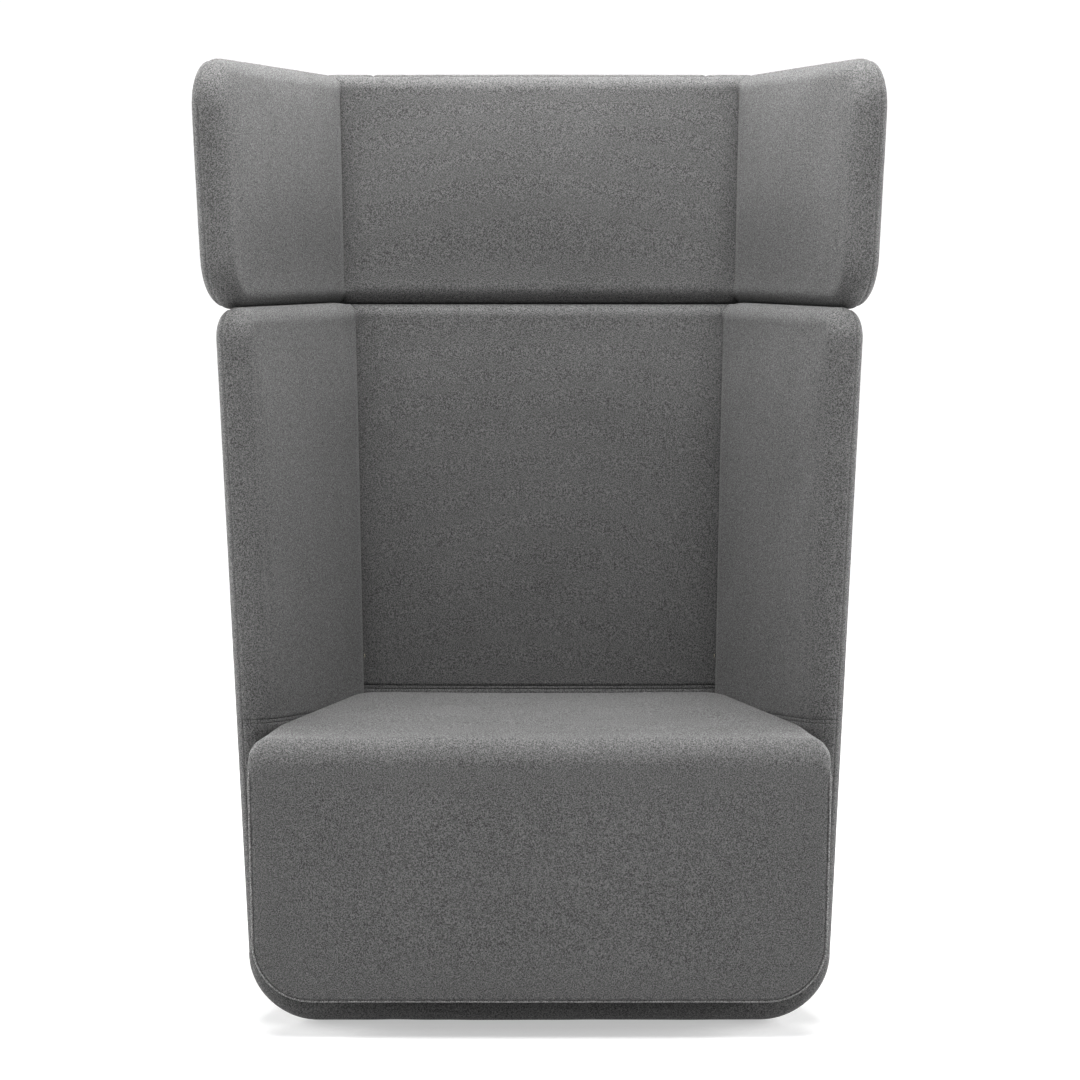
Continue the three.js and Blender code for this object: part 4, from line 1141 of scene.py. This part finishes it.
def steel_finish():
    """Zinc-plated steel: bright, lightly streaked, duller where it has been handled."""
    made = Finish("steel", Metallic=1.0)
    streaks = made.noise(260, 3.0, 0.6, made.scaled((1, 1, 0.08)))
    wear = made.noise(35, 3.0, 0.55)
    made.set("Base Color", made.mix(wear.band(0.3, 0.7), (0.5, 0.51, 0.53, 1), (0.62, 0.62, 0.63, 1)))
    made.set("Roughness", streaks * 0.18 + wear * 0.16 + 0.22)
    made.bump(streaks, 0.00008, 0.4)
    return made.material


def plastic_finish():
    """Black moulded plastic with a fine matt texture."""
    made = Finish("plastic", Specular_IOR_Level=0.45)
    texture = made.noise(2200, 2.0)
    scuffs = made.noise(60, 3.0)
    made.set("Base Color", made.mix(scuffs.band(0.4, 0.8), grey(0.014), grey(0.028)))
    made.set("Roughness", scuffs * 0.2 + 0.42)
    made.bump(texture, 0.0001, 0.5)
    return made.material


def cloth_finish():
    """Black non-woven dust cloth: pressed fibres with rows of small weld points."""
    made = Finish("dust cloth", Roughness=0.9, Specular_IOR_Level=0.2)
    fibres = made.noise(900, 3.0, 0.7)
    points = Value(made.tree, made.node("ShaderNodeTexVoronoi", "Distance", {"feature": "F1"},
                                        Vector=made.place, Scale=420.0, Randomness=0.15))
    made.set("Base Color", made.mix(fibres.band(0.3, 0.7), grey(0.009), grey(0.024)))
    made.bump(fibres * 0.4 + points.band(0.1, 0.45) * 0.6, 0.0003, 0.6)
    return made.material


finishes = {
    "fabric": fabric_finish("melange fabric"),
    "foam": foam_finish(),
    "plywood": wood_finish("plywood", (0.42, 0.26, 0.12, 1), (0.68, 0.5, 0.29, 1), True),
    "beech": wood_finish("beech", (0.38, 0.2, 0.09, 1), (0.6, 0.38, 0.2, 1), False),
    "steel": steel_finish(),
    "plastic": plastic_finish(),
    "cloth": cloth_finish(),
}
tucked_fabric = fabric_finish("melange fabric with a tuck seam", TUCK_SEAM)
wing_fabric = fabric_finish("melange fabric with the wings' tuck seam", WING_SEAM, WING_SEAM_SLOPE,
                            WING_SEAM_PULL)
# The seat's raised seam gets lighter fibres: a painted highlight where light catches the seam's edge
seam_fabric_painted_highlight = fabric_finish("melange fabric drawn over a seam", light=SEAM_PAINTED_HIGHLIGHT)


# Covers

def press(points):
    """The body's top under the hood: its back is pressed flat, and the wings ease down to it."""
    deep = smooth((points[..., 1] - back_inner(BODY_TOP) + PRESSED_REACH) / PRESSED_REACH)
    ceiling = BODY_TOP + (HOOD_BOTTOM - TOUCH_GAP - BODY_TOP) * deep
    points[..., 2] = np.where(points[..., 1] > 0, np.minimum(points[..., 2], ceiling), points[..., 2])
    return points


def shaped(patches, pressed):
    """Patches, with the body's pressed under the hood."""
    if pressed:
        for p in patches:
            p.points = press(p.points)
    return patches


def uneven(points, wave, seed):
    """Waves of a (length, height)."""
    length, height = wave
    return waves(points, length, seed) * height


def sewn(points, quads, seed, seams, raised):
    """The points rolled in towards the seams, with soft waves and the small puckers beside a seam.

    seams(middles) gives how deep each border edge is rolled in, 0 where the fabric runs on. Beside a seam
    the dip is its roll times (1 - distance / reach) squared. A seam in an inner corner draws the fabric
    into the corner instead, by the depth times the smoothstep squared. A raised cover stands a little
    higher beside a seam along its top.
    """
    border = border_edges(quads)
    rolls = seams(points[border].mean(1))
    normals = vertex_normals(points, quads)
    near = np.full(len(points), 1000.0)
    dip = np.zeros(len(points))
    tuck = np.zeros(len(points))
    for roll in np.unique(rolls[rolls > 0]):
        chosen = border[rolls == roll]
        reach = distance_to(points, points[chosen[:, 0]], points[chosen[:, 1]])
        near = np.minimum(near, reach)
        if roll == CORNER_ROLL:
            tuck = CORNER_DEPTH * smooth(1 - reach / CORNER_REACH) ** 2
            continue
        tuck = tuck * smooth((reach - 6) / 26)
        dip = np.maximum(dip, roll * np.clip(1 - reach / DIP_REACH, 0, 1) ** 2)
    upwards = np.clip(normals[:, 2], 0, 1) ** 2
    lift = OUTER_LIFT * upwards * np.exp(-((near - RIDGE_PLACE) / RIDGE_WIDTH) ** 2) * raised
    into_corner = grid(np.sign(points[:, 0]) * CORNER_WAY[0], CORNER_WAY[1], 0)
    joint = off_joint(points, *WAVE_EASE)
    free = smooth((near - 4) / 40) * joint
    soft = uneven(points, LONG_WAVE, seed) + uneven(points, SHORT_WAVE, seed + 1)
    pucker = uneven(points, PUCKER, seed + 2) * np.exp(-near / PUCKER_REACH) * smooth(near / 3)
    swell = JOINT_SWELL * (1 - joint) * (near > 3)
    out = soft * free + pucker + lift + swell - dip
    return points + normals * out[:, None] + into_corner * tuck[:, None]


def add_cover(name, points, quads, seed, node, material, seams, raised=False):
    """A cover as a thin closed shell that stands for a CAD node."""
    used, index = np.unique(quads, return_inverse=True)
    quads = index.reshape(quads.shape)
    points = sewn(points[used], quads, seed, seams, raised)
    piece = new_piece(name, new_mesh(name, points, clean_faces(quads)))
    shell = piece.modifiers.new("thickness", "SOLIDIFY")
    shell.thickness = CLOTH * MM
    shell.offset = -1
    piece.data.materials.append(material)
    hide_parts(node)


def filled(maker, pressure, pressed=False, held=None):
    """A cover's fine patches, with the shift that its coarse ones have once they are sewn down and
    filled. maker(step) makes the patches."""
    fine = shaped(maker(STEP), pressed)
    coarse = shaped(maker(SIM_STEP), pressed)
    for p, shift, rough in zip(fine, simulate(coarse, pressure, held), coarse):
        p.shift = resample(shift, rough.rows, rough.columns, p.rows, p.columns)
    return fine


def relaxed(patches):
    """Welded points and faces, with the filling's movement evened out on the fine grid."""
    points, quads, index = weld(patches)
    if hasattr(patches[0], "shift"):
        shift = np.zeros_like(points)
        shift[index] = np.concatenate([p.shift.reshape(-1, 3) for p in patches])
        fixed = np.zeros(len(points), bool)
        fixed[np.unique(border_edges(quads))] = True
        shift[fixed] = 0
        points = points + relax(shift, quads, fixed, FINE_ROUNDS)
    return points, quads


def wall_seams(middle):
    """The wall covers' seams in the inner corners lie nearly flat and the others are rolled in; where the
    body's covers meet the base cover there is none."""
    roll = np.full(len(middle), SEAM_ROLL)
    roll[np.abs(middle[:, 1] - back_inner(middle[:, 2])) < CORNER_SEAM_REACH] = CORNER_ROLL
    roll[middle[:, 2] < CURL + 1] = 0
    return roll


def seat_seams(middle):
    """The seat's seams are all rolled in a little."""
    return np.full(len(middle), SEAT_ROLL)


def no_seams(middle):
    """The fabric runs on at every border."""
    return np.zeros(len(middle))


# The walls' covers: name, the function and the wall that shape it, the CAD node it stands for, the seed
# of its waves, its fabric, the pressure that fills it, and whether there is one on each side
BOTH, ONE = (("left_", 1), ("right_", -1)), (("", 1),)
covers = [
    ("wing_inside", inner_wing, body, "inner_cover", 11, wing_fabric, 3.0, BOTH),
    ("wing_outside", outer_wing, body, "outer_cover", 21, finishes["fabric"], 2.0, BOTH),
    ("hood_side_inside", inner_wing, hood, "hood_inner_cover", 31, finishes["fabric"], 3.0, BOTH),
    ("hood_side_outside", outer_wing, hood, "hood_outer_cover", 41, finishes["fabric"], 2.0, BOTH),
    ("back_inside", inner_back, body, "back_inner_cover", 51, tucked_fabric, 3.0, ONE),
    ("back_outside", outer_back, body, "back_outer_cover", 61, finishes["fabric"], 1.5, ONE),
    ("hood_back_inside", inner_back, hood, "hood_back_inner_cover", 71, finishes["fabric"], 3.0, ONE),
    ("hood_back_outside", outer_back, hood, "hood_back_outer_cover", 81, finishes["fabric"], 1.5, ONE),
]
for name, maker, wall, node, seed, material, pressure, places in covers:
    points, quads = relaxed(filled(partial(maker, wall), pressure, wall is body))
    raised = wall is hood and maker in (outer_wing, outer_back)
    for side, sign in places:
        own, faces = points, quads
        if sign < 0:
            own, faces = points * np.array([-1, 1, 1]), quads[:, ::-1]
            seed += 3
        add_cover(side + name, own, faces, seed, side + node, material, wall_seams, raised)
points, quads, _ = weld(base(STEP))
add_cover("base_band", points, quads, 91, "base_cover", finishes["fabric"], no_seams)


# The seat block's four covers

def held_seat(points):
    """Which points stay put while the block fills: those of its underside and its back."""
    return (points[:, 1] > seat_back(points[:, 2]) - 2) | (points[:, 2] < SEAT_BOTTOM + 1)


seat_made = filled(seat_block, 4.0, held=held_seat)
points, quads = relaxed(seat_made)
grid_rows, grid_columns = seat_made[0].points.shape[:2]
row_share = seat_made[0].rows
row, column = np.divmod(np.arange(len(quads)), grid_columns - 1)
_, ring_depths, counts = seat_rings(STEP)
welt_row = int(np.argmin(np.abs(row_share - WELT_DEPTH / ring_depths[-1])))
last_row = int(np.argmin(np.abs(row_share - 1)))
across = np.minimum(column, grid_columns - 2 - column)
flat, _, side_run, _, _ = np.cumsum(counts)
on_top = (across >= side_run) & (row < last_row)
in_front = row < welt_row
on_side = (across >= flat) & ~on_top & ~in_front & (row < last_row)
to_left = column < grid_columns // 2
seat_covers = [
    ("seat_top_and_front", on_top | in_front, "seat_top_cover", 101, SEAT_TOP_FILL),
    ("left_seat_side", on_side & to_left, "left_seat_side_cover", 111, SEAT_FILL),
    ("right_seat_side", on_side & ~to_left, "right_seat_side_cover", 121, SEAT_FILL),
    ("seat_underside", ~(on_top | in_front | on_side), "seat_under_cover", 131, SEAT_FILL),
]
for name, chosen, node, seed, fill in seat_covers:
    add_cover(name, points, quads[chosen], seed, node, finishes["fabric"], seat_seams)


def tube(path, normals, radius, sides=8):
    """A closed round bar along a path: each section is the path's point plus the radius times (cos a
    times the normal plus sin a times the sideways direction), drawn together at both ends."""
    along = np.gradient(path, axis=0)
    along /= np.linalg.norm(along, axis=1)[:, None]
    sideways = np.cross(along, normals)
    sideways /= np.linalg.norm(sideways, axis=1)[:, None]
    angle = np.linspace(0, 2 * np.pi, sides + 1)
    size = np.full(len(path), float(radius))
    size[[0, -1]] = 0
    cos, sin = np.cos(angle)[None, :, None], np.sin(angle)[None, :, None]
    ring = cos * normals[:, None] + sin * sideways[:, None]
    points = path[:, None] + size[:, None, None] * ring
    return Patch(points, path[:, None] + 0 * points, np.arange(len(path)), angle)


# The raised seam along the sides and the bottom of the seat's front face
index = weld(seat_made)[2].reshape(grid_rows, grid_columns)[welt_row]
normals = vertex_normals(points, quads)
run = np.concatenate([np.arange(grid_columns - 1 - side_run, grid_columns - 1), np.arange(side_run + 1)])
path, ways = points[index[run]], normals[index[run]]
welt_points, welt_quads, _ = weld([tube(path + WELT_LIFT * ways, ways, WELT_RADIUS)])
welt = new_piece("seat_front_seam", new_mesh("seat_front_seam", welt_points, clean_faces(welt_quads)))
# Its fabric is lighter: a painted highlight of the light catching the seam
welt.data.materials.append(seam_fabric_painted_highlight)

# The foams: copies of the frame's own blocks in even cells, rounded and drawn in from the covers
for node in sorted(name for name in frame["nodes"] if name.endswith("_foam")):
    mesh = frame["nodes"][node].data.copy()
    mesh.materials.clear()
    mesh.materials.append(finishes["foam"])
    pad = new_piece(node.replace("_foam", "_padding"), mesh)
    remesh = pad.modifiers.new("cells", "REMESH")
    remesh.mode = "VOXEL"
    remesh.voxel_size = FOAM_CELL
    remesh.use_smooth_shade = True
    rounding = pad.modifiers.new("rounding", "SMOOTH")
    rounding.factor = 0.6
    rounding.iterations = 7
    inset = pad.modifiers.new("inset", "DISPLACE")
    inset.strength = -FOAM_INSET
    inset.mid_level = 0
    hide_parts(node)

# Materials of the frame's own pieces
slots = {entry["node"]: entry["material_slot"] for entry in frame["record"]["subparts"]}
for node, carried in frame["nodes"].items():
    carried.data.materials.clear()
    carried.data.materials.append(finishes[slots[node]])

# Floor, wall, light and camera

def stage_piece(name, points, faces, level, glow, near_glow):
    """A part of the studio: a grey of a level with a glow of its own, which is another near the chair,
    where the lights fall."""
    mesh = bpy.data.meshes.new(name)
    mesh.from_pydata(points, [], faces)
    piece = bpy.data.objects.new(name, mesh)
    bpy.context.scene.collection.objects.link(piece)
    finish = Finish(name, Roughness=0.9, Specular_IOR_Level=0.0, Emission_Strength=glow)
    finish.set("Base Color", finish.mix(finish.noise(2), grey(level), grey(level * 1.04)))
    x, y, _ = finish.parts()
    far = (x * x + y * y).math("SQRT").band(NEAR_RADIUS, FAR_RADIUS)
    finish.set("Emission Color", finish.mix(far, grey(near_glow / glow), grey(1.0)))
    mesh.materials.append(finish.material)
    piece.visible_glossy = False
    return piece


turn = np.linspace(0, 2 * np.pi, STUDIO_SIDES + 1)[:-1]
circle = STUDIO_RADIUS * np.stack([np.cos(turn), np.sin(turn)], -1)
rim = [(x, y, 0.0) for x, y in circle.tolist()]
stage_piece("floor", rim, [tuple(range(STUDIO_SIDES))], FLOOR_LEVEL, WALL_GLOW, FLOOR_GLOW)
upper = [(x, y, STUDIO_HEIGHT) for x, y, _ in rim]
following = [(k + 1) % STUDIO_SIDES for k in range(STUDIO_SIDES)]
sides = [(k, k + STUDIO_SIDES, after + STUDIO_SIDES, after) for k, after in enumerate(following)]
studio_wall = stage_piece("wall", rim + upper, sides, 0.0, WALL_GLOW, WALL_GLOW)
studio_wall.visible_diffuse = False
studio_wall.visible_shadow = False

world = bpy.data.worlds.new("studio")
bpy.context.scene.world = world
world.use_nodes = True
sky = world.node_tree
direction = sky.nodes.new("ShaderNodeTexCoord")
split = sky.nodes.new("ShaderNodeSeparateXYZ")
sky.links.new(direction.outputs["Generated"], split.inputs[0])
height = Value(sky, split.outputs[2])
feed(sky, sky.nodes["Background"].inputs["Strength"], height.band(0.35, 0.65) * SKY_LIGHT)
sky.nodes["Background"].inputs["Color"].default_value = (1, 1, 1, 1)


def soft_light(name, place, aim, size, power):
    """A square studio light, turned to a point and not itself in view."""
    data = bpy.data.lights.new(name, "AREA")
    data.shape = "SQUARE"
    data.size = size
    data.energy = power
    light = bpy.data.objects.new(name, data)
    bpy.context.scene.collection.objects.link(light)
    light.location = place
    light.rotation_euler = (Vector(aim) - Vector(place)).to_track_quat("-Z", "Y").to_euler()
    light.visible_camera = False


soft_light("top light", (0, -0.9, 3.4), (0, 0, 0.8), 2.2, TOP_POWER)
soft_light("near top light", (0, 0.15, 2.5), (0, 0.1, 1.0), 1.2, CREST_POWER)
for side in (-1, 1):
    soft_light("front side light", (2.6 * side, -2.4, 1.3), (0, -0.2, 0.6), 1.6, FRONT_POWER)
    soft_light("back side light", (3.0 * side, 0.9, 1.3), (0, 0, 0.7), 2.0, BACK_POWER)
    soft_light("near side light", (1.7 * side, -0.45, 0.7), (0, -0.35, 0.5), 0.8, SIDE_POWER)

camera_data = bpy.data.cameras.new("camera")
camera_data.sensor_width = SENSOR
camera_data.lens = LENS
camera_data.shift_x = 0.5 / PHOTO_WIDTH
camera_data.clip_end = 100
camera = bpy.data.objects.new("camera", camera_data)
bpy.context.scene.collection.objects.link(camera)
camera.location = (0, DEPTH_SHIFT * MM - CAMERA_DISTANCE, CAMERA_HEIGHT)
camera.rotation_euler = (math.pi / 2 - CAMERA_PITCH, 0, 0)
bpy.context.scene.camera = camera
bpy.context.scene.view_settings.view_transform = "Standard"
bpy.context.scene.view_settings.gamma = 1 / CONTRAST
